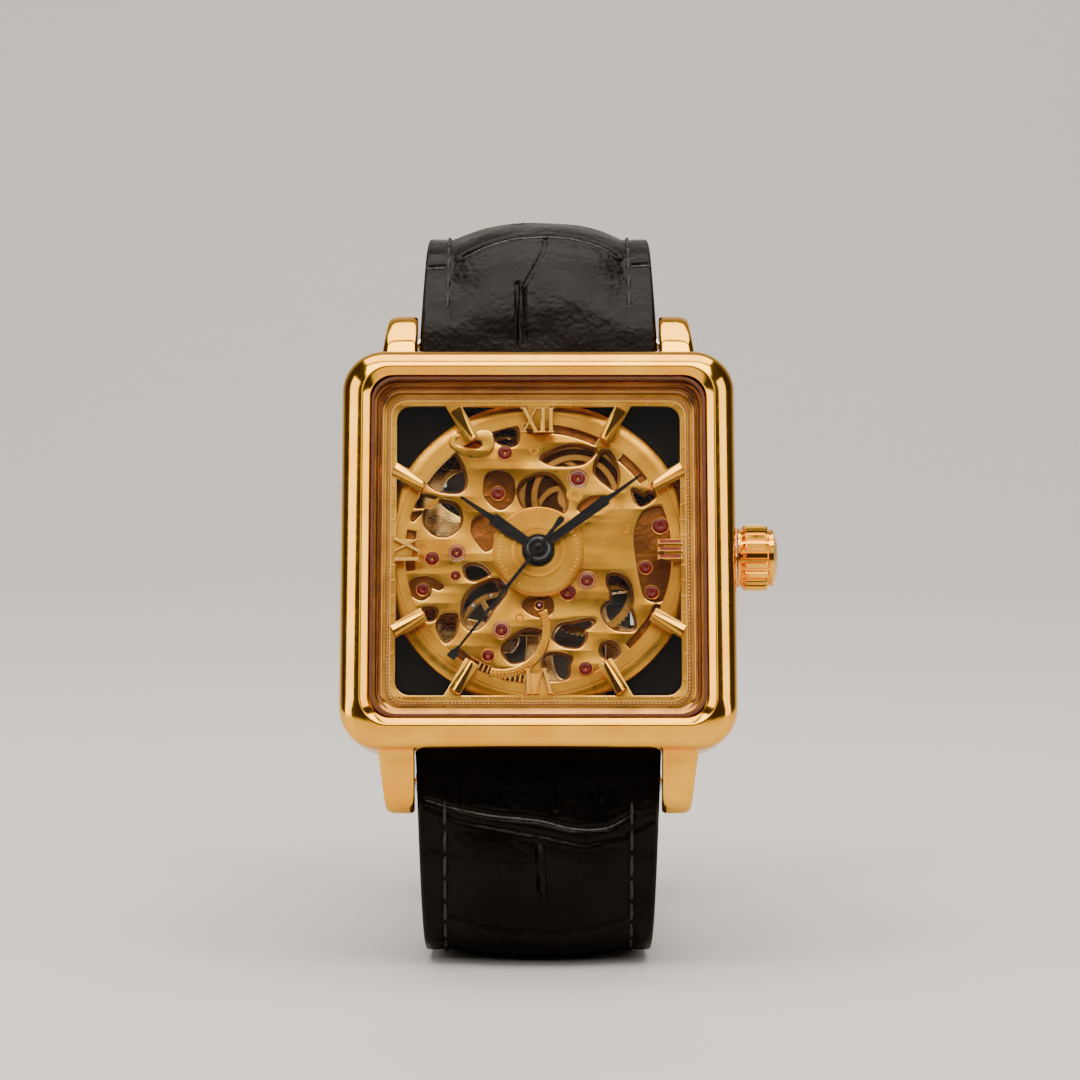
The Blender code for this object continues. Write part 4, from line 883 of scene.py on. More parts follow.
def main_plate():
    """Two layers: a floor with the openings, a deck with wider ones and pockets, and a rim with a groove."""
    holes = [smooth_closed(points) for points in OPENINGS.values()]
    holes += [[Vector(p) for p in circle(radius, 40, at)] for at, radius in ROUND_OPENINGS]
    pockets = [smooth_closed(points) for points in POCKETS]
    for start, end, inner in CHANNELS:
        pockets.append(arc(INNER_RING - 0.02, start, end, 24) + arc(inner, end, start, 24))
    bm = bmesh.new()
    # The floor layer and the deck's walls take the dark gold as painted shade in the recesses.
    plate(bm, [circle(13.9, 120)] + holes, FLOOR, PLATE_BACK, 0.07, 2, edge_index=2, index=2)
    wide = [grown(hole, 0.22, INNER_RING - 0.05) for hole in holes]
    plate(bm, [circle(13.8, 120)] + wide + pockets, DECK, FLOOR - 0.02, 0.11, 2, edge_index=1, wall_index=2)
    rim = [
        (INNER_RING, -0.7), (INNER_RING, 0.02), (INNER_RING + 0.1, 0.12), (14.05, 0.12), (14.1, 0.06),
        (14.22, 0.06), (14.28, 0.12), (14.5, 0.12), (15.3, -0.1), (15.4, -0.2), (15.4, PLATE_BACK),
        (INNER_RING + 0.1, PLATE_BACK),
    ]
    turned(bm, rim, 144)
    piece("main_plate_gold", bm, [SATIN, PAINTED_HIGHLIGHT_GOLD, RECESS_SHADE_GOLD], "root", ["main_plate"])


def plate_details():
    """What stands on the plate: the banjo lobe, the beaded arc, the comb and the bosses."""
    bm = bmesh.new()
    lobe = [(-8.8, 10.9), (-7.5, 9.8), (-6.3, 9.4), (-5.0, 9.8), (-4.3, 10.9), (-4.6, 12.1), (-5.6, 12.4),
            (-6.6, 12.0), (-8.2, 12.2)]
    slot = arc(0.42, 90, 270, 10, (-7.7, 11.2)) + arc(0.42, -90, 90, 10, (-6.0, 10.9))
    plate(bm, [smooth_closed(lobe), slot], 0.34, -0.05, 0.12, 2, edge_index=1)
    band = arc(4.85, -105, 25, 40, BALANCE_AT) + arc(3.95, 25, -105, 40, BALANCE_AT)
    plate(bm, [band], 0.2, -0.05, 0.08, 2, edge_index=1)
    for radius, count in ((4.15, 26), (4.4, 28), (4.65, 30)):
        for x, y in arc(radius, -101, 21, count, BALANCE_AT):
            bead(bm, (x, y, 0.2), 0.13, 0.9)
    for i in range(11):
        bar(bm, polar(12.3, -117 + 2.1 * i), polar(13.1, -117 + 2.1 * i), 0.2, -0.05, 0.16, 0.05, 1)
    for at, radius in ((BARREL_AT, 0.8), (PALLET_AT, 0.5), ((-0.4, 10.4), 0.45), ((8.6, 2.4), 0.44)):
        turned(bm, [(0.25, -0.05), (radius, -0.05), (radius, 0.05), (radius - 0.07, 0.1), (0.35, 0.1),
                    (0.25, 0.0)], 32, at)
    piece("plate_bosses", bm, [SATIN, PAINTED_HIGHLIGHT_GOLD], "root")


def jewels():
    """Each jewel is a domed ruby with an oil sink in one gold setting or two silvery ones."""
    settings = bmesh.new()
    stones = bmesh.new()
    for at, radius, rings in JEWELS:
        level = level_at(at)
        for ring in range(rings):
            outer = radius + 0.15 + 0.24 * ring
            inner = radius + 0.24 * ring
            top = level + 0.2 - 0.08 * ring
            section = [(inner, level - 0.1), (outer, level - 0.1), (outer, top - 0.06), (outer - 0.06, top),
                       (inner + 0.07, top), (inner, top - 0.1)]
            turned(settings, section, 40, at, index=1 if rings > 1 else 0)
        dome = [(0.1, level - 0.1), (radius + 0.02, level - 0.1), (radius + 0.02, level + 0.06),
                (radius * 0.8, level + 0.12), (radius * 0.45, level + 0.13), (radius * 0.25, level + 0.08),
                (0.1, level)]
        turned(stones, dome, 32, at)
    piece("jewel_settings", settings, [PAINTED_HIGHLIGHT_GOLD, PINK], "root")
    piece("jewels", stones, [RUBY], "root", sharp=60)


def motion_cover():
    """The stepped cover over the motion works, with engraved rings."""
    profile = [
        (0.78, 1.14), (0.9, 1.18), (2.0, 1.18), (2.05, 1.12), (2.15, 1.12), (2.2, 1.18), (2.5, 1.18),
        (2.62, 1.08), (2.62, 0.9), (4.2, 0.86), (4.24, 0.8), (4.3, 0.8), (4.34, 0.84), (4.42, 0.82),
        (4.5, 0.74), (4.5, 0.03), (4.15, 0.03), (4.15, 0.66), (0.78, 0.66),
    ]
    bm = bmesh.new()
    turned(bm, profile, 96)
    for i in range(60):
        bar(bm, polar(3.72 if i % 5 else 3.55, i * 6), polar(4.0, i * 6), 0.09, 0.84, 0.9, 0.02, 1)
    piece("motion_cover_gold", bm, [SATIN, PAINTED_HIGHLIGHT_GOLD], "root", ["motion_cover"], sharp=25)


# ---------------------------------------------------------------- wheels


STAFF_FRONT = -0.1
STAFF_BACK = -4.7


def toothed(teeth, radius, height):
    """The outline of a wheel with rounded-off teeth, half of the height outside the radius."""
    points = []
    for i in range(teeth):
        for share, reach in ((-0.34, -0.5), (-0.14, 0.5), (0.14, 0.5), (0.34, -0.5)):
            points.append(polar(radius + height * reach, 360 * (i + share) / teeth))
    return points


def spokes(count, inner, outer, width, steps=10):
    """Windows between the spokes of a wheel."""
    windows = []
    for i in range(count):
        middle = 360 * (i + 0.5) / count
        near = 180 / count - math.degrees(width / 2 / inner)
        far = 180 / count - math.degrees(width / 2 / outer)
        window = arc(outer, middle - far, middle + far, steps)
        windows.append(window + arc(inner, middle + near, middle - near, 3))
    return windows


def outer_radius(node, at):
    """The largest distance of a CAD node's points from its axis, in head millimetres."""
    reach = 0.0
    for vertex in NODES[node].data.vertices:
        point = TO_HEAD @ vertex.co
        reach = max(reach, math.hypot(point.x - at[0], point.y - at[1]))
    return reach


def wheel(node, body, at, teeth, height, level, windows, rods, look, bore=0.0):
    """A spoked wheel with its teeth and turned arbor, hollow if bored; rods are (radius, front, back)."""
    radius = outer_radius(node, at) - height / 2
    bm = bmesh.new()
    holes = windows + [circle(bore, 28)] if bore else windows
    plate(bm, [toothed(teeth, radius, height)] + holes, *level, 0.03, 1, edge_index=1)
    for rod_radius, front, back in rods:
        chamfer = min(rod_radius - bore, front - back) * 0.25
        turned(bm, [(bore, front), (rod_radius - chamfer, front), (rod_radius, front - chamfer),
                    (rod_radius, back + chamfer), (rod_radius - chamfer, back), (bore, back)], 28, index=2)
    place = Matrix.Translation((*at, 0))
    # Edges of teeth and windows take the lighter gold as a painted highlight.
    return piece(node + "_fine", bm, [look, PAINTED_HIGHLIGHT_GOLD, BRASS], body, [node], before=place)


def barrel():
    """The toothed drum with rings and four curved arms on its front."""
    radius = outer_radius("barrel", BARREL_AT)
    bm = bmesh.new()
    teeth = toothed(72, radius - 0.06, 0.11)
    plate(bm, [teeth, circle(radius - 0.8, 60)], -2.2, -2.45, 0.03, 1, edge_index=1)
    drum = radius - 0.42
    profile = [(drum, -2.55), (drum, -1.3), (drum - 0.05, -1.24), (0.74, -1.24), (0.74, -1.34)]
    profile += [(drum - 0.4, -1.34), (drum - 0.4, -2.6)]
    # The drum's front and walls are in the near-black gold, painted shade for the troughs between the rings.
    turned(bm, profile, 96, index=2)
    for outer, inner in ((drum, drum - 0.6), (4.35, 3.7), (1.7, 0.8)):
        turned(bm, [(outer, -1.26), (outer, -1.03), (outer - 0.07, -0.97), (inner + 0.07, -0.97),
                    (inner, -1.03), (inner, -1.26)], 96)
    for i in range(4):
        sweep = [polar(1.5 + 0.27 * k, 90 * i + 40 + 7 * k) for k in range(9)]
        other = [polar(1.5 + 0.27 * k, 90 * i + 40 + 7 * k + 26 - 1.6 * k) for k in range(9)]
        plate(bm, [sweep + other[::-1]], -1.0, -1.26, 0.05)
    piece("barrel_fine", bm, [BRASS, PAINTED_HIGHLIGHT_GOLD, SHADED], "barrel", ["barrel"],
          before=Matrix.Translation((*BARREL_AT, 0)))


def going_train():
    """The wheels from the centre to the seconds, and the two winding wheels."""
    centre = (0.0, 0.0)
    wide = spokes(5, 1.1, 4.1, 0.5)
    wheel("center_wheel", "center", centre, 64, 0.16, (-2.7, -2.9), wide,
          [(0.7, -1.05, -2.75), (0.3, 1.0, -2.95)], BRASS, 0.18)
    wheel("third_wheel", "third", THIRD_AT, 60, 0.16, (-3.0, -3.2), wide,
          [(0.6, -2.6, -3.1), (0.2, STAFF_FRONT, STAFF_BACK)], BRASS)
    wheel("fourth_wheel", "seconds", centre, 80, 0.14, (-3.3, -3.45), spokes(5, 1.0, 4.0, 0.45),
          [(0.5, -2.96, -3.35), (0.13, 2.1, STAFF_BACK)], BRASS)
    wheel("ratchet_wheel", "ratchet", BARREL_AT, 42, 0.15, (-3.6, -3.85), spokes(4, 1.5, 3.2, 0.8),
          [(1.15, -1.35, -2.5), (0.6, STAFF_FRONT, STAFF_BACK), (1.3, -3.55, -4.0)], STEEL)
    wheel("crown_wheel", "crown_wheel", CROWN_WHEEL_AT, 36, 0.15, (-3.6, -3.85), spokes(4, 1.1, 2.5, 0.7),
          [(0.36, -3.5, STAFF_BACK), (0.9, -3.5, -3.95)], STEEL)


def escapement():
    """Escape wheel with club teeth, pallet fork and balance."""
    outline = []
    for i in range(15):
        turn = 24 * i
        tooth = ((1.42, 0), (1.6, 5), (1.9, 9), (1.86, 13), (1.6, 11), (1.42, 12))
        outline += [polar(radius, turn + angle) for radius, angle in tooth]
    bm = bmesh.new()
    plate(bm, [outline] + spokes(4, 0.4, 1.15, 0.25, 6), -1.12, -1.3, 0.02, 1, edge_index=1)
    for radius, front, back in ((0.3, -3.26, -3.5), (0.12, STAFF_FRONT, STAFF_BACK), (0.34, -1.05, -1.4)):
        rod(bm, radius, front, back, 20)
    piece("escape_wheel_fine", bm, [STEEL, PAINTED_HIGHLIGHT_GOLD], "escape", ["escape_wheel"],
          before=Matrix.Translation((*ESCAPE_AT, 0)))
    toward = Vector(ESCAPE_AT) - Vector(PALLET_AT)
    turn = math.degrees(math.atan2(toward.y, toward.x))
    shape = [
        (0.28, 110), (0.7, 165), (1.42, 171), (1.2, 180), (1.42, 189), (0.7, 195), (0.28, 250), (1.0, -88),
        (1.55, -80), (1.62, -66), (0.9, -50), (0.3, -20), (0.3, 20), (0.9, 50), (1.62, 66), (1.55, 80),
        (1.0, 88),
    ]
    outline = [polar(radius, turn + angle) for radius, angle in shape]
    bm = bmesh.new()
    plate(bm, [outline], -1.12, -1.3, 0.03, 1, edge_index=1)
    rod(bm, 0.15, STAFF_FRONT, -1.38, 20)
    piece("pallet_fork_fine", bm, [STEEL, PAINTED_HIGHLIGHT_GOLD], "pallet", ["pallet_fork"],
          before=Matrix.Translation((*PALLET_AT, 0)))
    radius = outer_radius("balance_wheel", BALANCE_AT)
    bm = bmesh.new()
    windows = spokes(3, 0.55, radius - 0.55, 0.45, 16)
    plate(bm, [circle(radius, 96)] + windows, -1.65, -2.1, 0.08, 2, edge_index=1)
    for i in range(12):
        x, y = polar(radius - 0.28, 30 * i + 15)
        turned(bm, [(0.0, -1.7), (0.2, -1.7), (0.2, -1.58), (0.15, -1.54), (0.0, -1.54)], 16, (x, y), 2)
    for rod_radius, front, back in ((0.12, STAFF_FRONT, STAFF_BACK), (0.45, -1.5, -2.2), (0.42, -1.42, -1.7)):
        rod(bm, rod_radius, front, back, 24, index=2)
    piece("balance_wheel_fine", bm, [BRASS, PAINTED_HIGHLIGHT_GOLD, STEEL], "balance", ["balance_wheel"],
          before=Matrix.Translation((*BALANCE_AT, 0)))


def springs():
    """The hairspring and the mainspring as flat spiral bands."""
    for name, node, body, at, turns, inner, growth, band, level in (
        ("hairspring_fine", "hairspring", "balance", BALANCE_AT, 5, 0.55, 1.4, 0.05, (-2.35, -2.5)),
        ("mainspring_fine", "mainspring", "barrel", BARREL_AT, 4, 1.35, 2.9, 0.16, (-1.4, -2.45)),
    ):
        rings = []
        count = turns * 40
        for i in range(count + 1):
            radius = inner + growth * i / count
            a = polar(radius - band / 2, 9 * i)
            b = polar(radius + band / 2, 9 * i)
            rings.append([(*a, level[1]), (*b, level[1]), (*b, level[0]), (*a, level[0])])
        bm = bmesh.new()
        loft(bm, rings)
        piece(name, bm, [BLUED], body, [node], before=Matrix.Translation((*at, 0)))


# ---------------------------------------------------------------- bridges


BRIDGE_FRONT = -4.0
BRIDGE_BACK = -4.8


def bridges():
    """Bevelled and striped bridges, seen through the back, with their pillars, jewels and screws."""
    rim = arc(14.5, 1, 173, 60)
    lower = [
        (-10.0, 1.9), (-3.2, 2.9), (0.0, 1.6), (4.0, 1.3), (5.9, -0.8), (7.3, -1.3), (9.0, -0.8), (12.0, 0.0),
    ]
    holes = [circle(0.68, 24, BARREL_AT), circle(0.42, 20, CROWN_WHEEL_AT)]
    holes.append(smooth_closed([(-3.2, 5.2), (-6.8, 4.4), (-9.8, 6.2), (-8.4, 9.0), (-4.6, 8.8)]))
    holes.append(smooth_closed([(-3.6, 10.4), (-6.4, 10.8), (-5.4, 12.2), (-2.8, 12.6)]))
    for start in (100, 190, 280, 10):
        outer = arc(3.4, start, start + 62, 14, BARREL_AT)
        holes.append(outer + arc(1.6, start + 56, start + 6, 6, BARREL_AT))
    one_bridge("barrel_bridge", [rim + lower] + holes, (36, 95, 160), [(-11.2, 4.0), (11.0, 3.2)])
    rim = arc(14.5, -2, -97, 40)
    inner = [(-1.2, -8.6), (-1.15, -4.4), (-2.6, -3.0), (-2.6, 1.0), (0.0, 1.25), (3.6, 1.0), (5.4, -1.1),
             (7.2, -1.75), (9.3, -1.25), (12.2, -0.45)]
    holes = [circle(0.2, 16), circle(0.24, 16, THIRD_AT), circle(0.24, 16, ESCAPE_AT)]
    holes.append(smooth_closed([(7.2, -3.2), (7.0, -5.8), (10.0, -6.6), (11.4, -3.6)]))
    holes.append(smooth_closed([(1.6, -7.2), (4.6, -5.6), (6.6, -8.4), (5.6, -11.6), (2.0, -11.6)]))
    one_bridge("train_bridge", [rim + inner] + holes, (-12, -85), [(12.0, -6.0), (0.6, -12.6)])
    edge = arc(14.5, 218, 192, 12) + [(-10.6, -4.2), (-7.4, -5.6)]
    edge += arc(1.7, 120, -60, 20, BALANCE_AT) + [(-7.0, -9.4)]
    one_bridge("balance_cock", [edge, circle(0.24, 16, BALANCE_AT)], (200, 211), [(-11.8, -6.4)])
    bm = bmesh.new()
    setting = [
        (0.26, BRIDGE_BACK - 0.1), (0.62, BRIDGE_BACK - 0.1), (0.68, BRIDGE_BACK - 0.04),
        (0.68, BRIDGE_BACK + 0.05), (0.26, BRIDGE_BACK + 0.05),
    ]
    for at in (THIRD_AT, ESCAPE_AT, BALANCE_AT, (0.0, 0.0)):
        turned(bm, setting, 32, at)
    piece("bridge_settings", bm, [PAINTED_HIGHLIGHT_GOLD], "root")


def one_bridge(node, outlines, pillars, screws):
    """A bridge with its holes, its pillars at these angles and its screws at these places."""
    bm = bmesh.new()
    plate(bm, outlines, BRIDGE_FRONT, BRIDGE_BACK, 0.12, 2, edge_index=1)
    for angle in pillars:
        rod(bm, 0.75, -0.94, BRIDGE_FRONT - 0.1, 24, polar(13.5, angle))
    for at in screws:
        slotted_head(bm, at, 0.5, 12, 12, BRIDGE_BACK + 0.05, BRIDGE_BACK - 0.16, 0.04, 2)
    piece(node + "_fine", bm, [STRIPED, PAINTED_HIGHLIGHT_GOLD, STEEL], "root", [node])


def striped_gold():
    """Satin gold with broad polished stripes across it."""
    look = Look("striped_gold", "satin_gold", Metallic=1.0)
    look.colours(look.noise(300, 5), (0.3, (0.74, 0.42, 0.12)), (0.7, (0.94, 0.58, 0.2)))
    look.spread(look.noise(2500, 5, look.place((1, 8, 1))), 0.2, 0.34)
    waves = look.node("ShaderNodeTexWave", [("Vector", look.place((1, 1, 1), (0, 0, 0.6)))], Scale=170)
    waves.bands_direction = "X"
    look.bump(waves.outputs["Fac"], 0.08)
    look.bump(look.noise(9000, 3), 0.008)
    return look.material


STRIPED = striped_gold()

# ---------------------------------------------------------------- strap

STEP = 0.2
FINE_LENGTH = 26.0
END_WIDTH = 24.0
TAIL_WIDTH = 20.0
STITCH_AT = 9.1


def side_point(y, z):
    """World (y, z), in millimetres, of a point of the head's middle plane."""
    at = HEAD @ Vector((0, y, z)) / MM
    return (at.y, at.z)


def stations(route, wrist_side):
    """Evenly spaced (place, inward direction) along the outer face of a strap."""
    places = along(smooth_open(route, 24), STEP)
    made = []
    for i, place in enumerate(places):
        ahead = places[min(i + 1, len(places) - 1)]
        behind = places[max(i - 1, 0)]
        onward = (ahead - behind).normalized()
        made.append((place, Vector((-onward.y, onward.x)) * wrist_side))
    return made


def plateau(u):
    """1 at the crown of the padded middle of the strap, falling to 0 at the stitched margin."""
    t = min(abs(u) / 9.0, 1.0)
    return (1 - t ** 2.6) * (1 - 0.35 * t ** 8)


def crease_depth(s, u, creases):
    """Depth of the embossed grooves at one point; each crease is (points (s, u), width, depth)."""
    depth = 0.0
    for points, width, deep in creases:
        best = 9.0
        for (s0, u0), (s1, u1) in zip(points, points[1:]):
            ds, du = s1 - s0, u1 - u0
            t = ((s - s0) * ds + (u - u0) * du) / (ds * ds + du * du)
            t = min(max(t, 0.0), 1.0)
            best = min(best, math.hypot(s - s0 - ds * t, u - u0 - du * t))
        if best < 4 * width:
            depth += deep * math.exp(-((best / width) ** 2))
            depth -= 0.4 * deep * math.exp(-(((best - 2.1 * width) / (0.8 * width)) ** 2))
    return depth


class Strap:
    """One half of the strap: its stations and its section at each of them.

    s runs along the outer face from the spring bar, u across it, and depth down into the leather.
    padding is (height, start, full, fall, gone), the last four along s, and tip a rounded end's length.
    """

    def __init__(self, route, wrist_side, padding, taper_length, creases, tip=0.0, seed=0.0):
        self.stations = stations(route, wrist_side)
        self.length = STEP * (len(self.stations) - 1)
        self.padding = padding
        self.taper_length = taper_length
        self.creases = creases
        self.tip = tip
        self.seed = seed

    def half(self, s):
        share = min(s / self.taper_length, 1.0)
        half = (END_WIDTH + (TAIL_WIDTH - END_WIDTH) * share ** 0.85) / 2
        left = self.length - s
        if self.tip and left < self.tip:
            half *= 0.4 + 0.6 * math.sqrt(max(1 - (1 - left / self.tip) ** 2, 0.0))
        return half

    def drop(self, s):
        """How far the margins lie below the padded middle: it rises behind the lugs, then fades away."""
        most, rise, full, fall, gone = self.padding
        up = min(max((s - rise) / (full - rise), 0.0), 1.0)
        down = min(max((gone - s) / (gone - fall), 0.0), 1.0)
        return 0.15 + most * up * up * (3 - 2 * up) * down

    def thickness(self, s):
        return 3.4 - 1.2 * min(s / 18.0, 1.0)

    def closing(self, s):
        """How much of the thickness is left where both faces draw together at the strap's ends."""
        share = min(s, self.length - s) / 0.6
        if share >= 1:
            return 1.0
        return max(math.sqrt(max(1 - (1 - share) ** 2, 0.0)), 0.75)

    def section_depth(self, s, u, depth):
        """A depth at the strap's ends, drawn towards the middle of the thickness there."""
        middle = (self.outer_depth(s, u) + self.thickness(s)) / 2
        return middle + (depth - middle) * self.closing(s)

    def outer_depth(self, s, u):
        """Depth of the outer face below the route: padding, margin, creases and soft wrinkles."""
        fade = min(s / 3.0, 1.0)
        pad = self.drop(s)
        scaled_u = u * 11.9 / self.half(s)
        depth = pad * (1 - plateau(scaled_u))
        depth += fade * crease_depth(s, u, self.creases)
        wrinkle = noise.noise(Vector((u * 0.28, s * 0.5, self.seed)))
        fine = noise.noise(Vector((u * 1.3, s * 1.9, self.seed + 5)))
        depth += fade * (0.07 * wrinkle + 0.025 * fine) * (0.3 + 0.7 * plateau(scaled_u))
        stitched = math.exp(-(((abs(u) - STITCH_AT) / 0.35) ** 2))
        return depth + 0.09 * stitched

    def place(self, s, u, depth):
        station, inward = self.stations[min(max(int(s / STEP + 0.5), 0), len(self.stations) - 1)]
        at = station + inward * depth
        return Vector((u, at.x, max(at.y, 0.0)))

    def mesh(self):
        columns = 112
        edge = 0.3
        bm = bmesh.new()
        rings = []
        last = len(self.stations) - 1
        for i in range(last + 1):
            s = i * STEP
            if FINE_LENGTH < s < self.length - 1.0 and i % 2:
                continue
            half = self.half(s)
            inner = self.thickness(s)
            ring = []
            for k in range(columns + 1):
                u = -half + edge + 2 * (half - edge) * k / columns
                ring.append((u, self.outer_depth(s, u)))
            rim = self.outer_depth(s, half)
            turn = 0.3 * (inner - rim)
            right = [(half - 0.08, rim + 0.3 * turn), (half, rim + turn), (half, inner - turn),
                     (half - 0.08, inner - 0.3 * turn)]
            under = [(share * (half - edge), inner) for share in (1.0, 0.5, 0.0, -0.5, -1.0)]
            left = [(-u, depth) for u, depth in reversed(right)]
            ring += right + under + left
            rings.append([self.place(s, u, self.section_depth(s, u, depth)) for u, depth in ring])
        loft(bm, rings)
        count = len(rings[0])
        bm.faces.ensure_lookup_table()
        for index in range((len(rings) - 1) * count):
            column = index % count
            if columns <= column < columns + 5 or column >= count - 5:
                bm.faces[index].material_index = 1
            elif column >= columns + 5:
                bm.faces[index].material_index = 2
        return bm

    def stitch_line(self, bm, start, end, pitch=2.8, length=2.25):
        """Thread stitches along both margins, each one bedded in the leather at its ends."""
        count = int((end - start) / pitch)
        for i in range(count):
            for side in (-1, 1):
                jitter = 0.1 * noise.noise(Vector((i * 1.7, side * 3.1, self.seed)))
                s0 = start + i * pitch + jitter
                rings = []
                for k in range(9):
                    t = k / 8
                    s = s0 + length * t
                    u = side * min(STITCH_AT + jitter * (t - 0.5), self.half(s) - 1.5)
                    lift = 0.2 * math.sin(math.pi * t) - 0.06
                    radius = thread_radius(t, 0.13)
                    centre_depth = self.outer_depth(s, u) - lift
                    ring = []
                    for a in range(8):
                        across, up = polar(radius, 45 * a)
                        ring.append(self.place_between(s, u + across, centre_depth - up))
                    rings.append(ring)
                loft(bm, rings)

    def crease_highlight_line(self, bm, points, radius=0.1):
        """A painted highlight along the lip of a crease: a thin pale thread of leather along its points."""
        rings = []
        route = smooth_open([Vector(p) for p in points], 8)
        for i, (s, u) in enumerate(route):
            taper = math.sin(math.pi * min(max(i / (len(route) - 1), 0.06), 0.94)) ** 0.4
            depth = self.outer_depth(s, u) - 0.02
            rings.append([self.place_between(s + along_s, u, depth - up)
                          for along_s, up in (polar(radius * taper, 45 * a) for a in range(8))])
        loft(bm, rings, index=1)

    def place_between(self, s, u, depth):
        """Like place, but blending between two stations."""
        at = min(max(s / STEP, 0.0), len(self.stations) - 1.001)
        first = int(at)
        a, b = self.stations[first], self.stations[first + 1]
        blend = at - first
        point = a[0].lerp(b[0], blend) + a[1].lerp(b[1], blend) * depth
        return Vector((u, point.x, point.y))


BAR_LOW, BAR_HIGH = head_box("spring_bar_12")
BAR_Y = (BAR_LOW.y + BAR_HIGH.y) / 2
BAR_Z = (BAR_LOW.z + BAR_HIGH.z) / 2
OUTER_Z = BAR_Z + 1.7
STRAP_BACK = 37.2
OVER = STRAP_BACK + 2.45
BUCKLE_Z = JOINTS["buckle_tongue_swing"]["pos_m"][2] / MM

UPPER_ROUTE = [
    side_point(BAR_Y - 2.66, OUTER_Z + 0.2), side_point(BAR_Y, OUTER_Z),
    (2.6, 65.0), (5.4, 68.8), (9.0, 71.4), (13.5, 72.4), (18.5, 71.7), (24.0, 69.0), (29.2, 64.8),
    (33.2, 59.4), (35.9, 53.8), (STRAP_BACK - 0.1, 48.6), (STRAP_BACK, 44.0), (STRAP_BACK, 39.0),
    (STRAP_BACK, 34.0), (STRAP_BACK, 29.5), (STRAP_BACK, BUCKLE_Z - 1.2),
]
LOWER_ROUTE = [
    side_point(-BAR_Y + 2.66, OUTER_Z + 0.2), side_point(-BAR_Y, OUTER_Z),
    (-14.3, 15.8), (-14.9, 12.6), (-14.8, 9.4), (-14.0, 6.4), (-12.4, 3.6), (-10.2, 1.4), (-7.6, 0.2),
    (-6.4, 0.0), (-4.0, 0.0), (0.0, 0.0), (5.0, 0.0), (10.0, 0.0), (15.0, 0.0), (18.5, 0.7), (22.4, 2.4),
    (26.2, 5.0), (29.8, 8.4), (33.0, 12.6), (35.2, 16.4), (36.3, 19.6), (37.7, 22.2), (39.3, 25.2),
    (OVER, 28.6), (OVER, 33.0), (OVER, 38.0), (OVER, 43.0),
    (OVER - 0.1, 48.2), (OVER - 0.7, 51.8), (OVER - 1.3, 53.6), (OVER - 1.7, 54.8),
]


def scale_creases(start, end, row):
    """Embossed scale pattern: wavy cross creases a row apart, joined by short lengthwise grooves."""
    creases = []
    count = int((end - start) / row)
    for i in range(count):
        s = start + row * i
        bow = 0.8 * noise.noise(Vector((i * 2.3, 0.5, 1.0)))
        points = []
        for u in (-8, -5, -2, 1, 4, 7.6):
            points.append((s + bow * (1 - (u / 7) ** 2) + 0.5 * math.sin(u * 0.9 + i), u))
        creases.append((points, 0.26, 0.22))
        offset = -2.2 + 1.6 * noise.noise(Vector((i * 3.7, 2.5, 4.0)))
        groove = [(s + 0.3, offset), (s + row * 0.5, offset + 0.3), (s + row - 0.3, offset)]
        creases.append((groove, 0.24, 0.2))
        if i % 2:
            creases.append(([(s + 0.3, offset + 4.6), (s + row - 0.3, offset + 5.2)], 0.22, 0.14))
    return creases


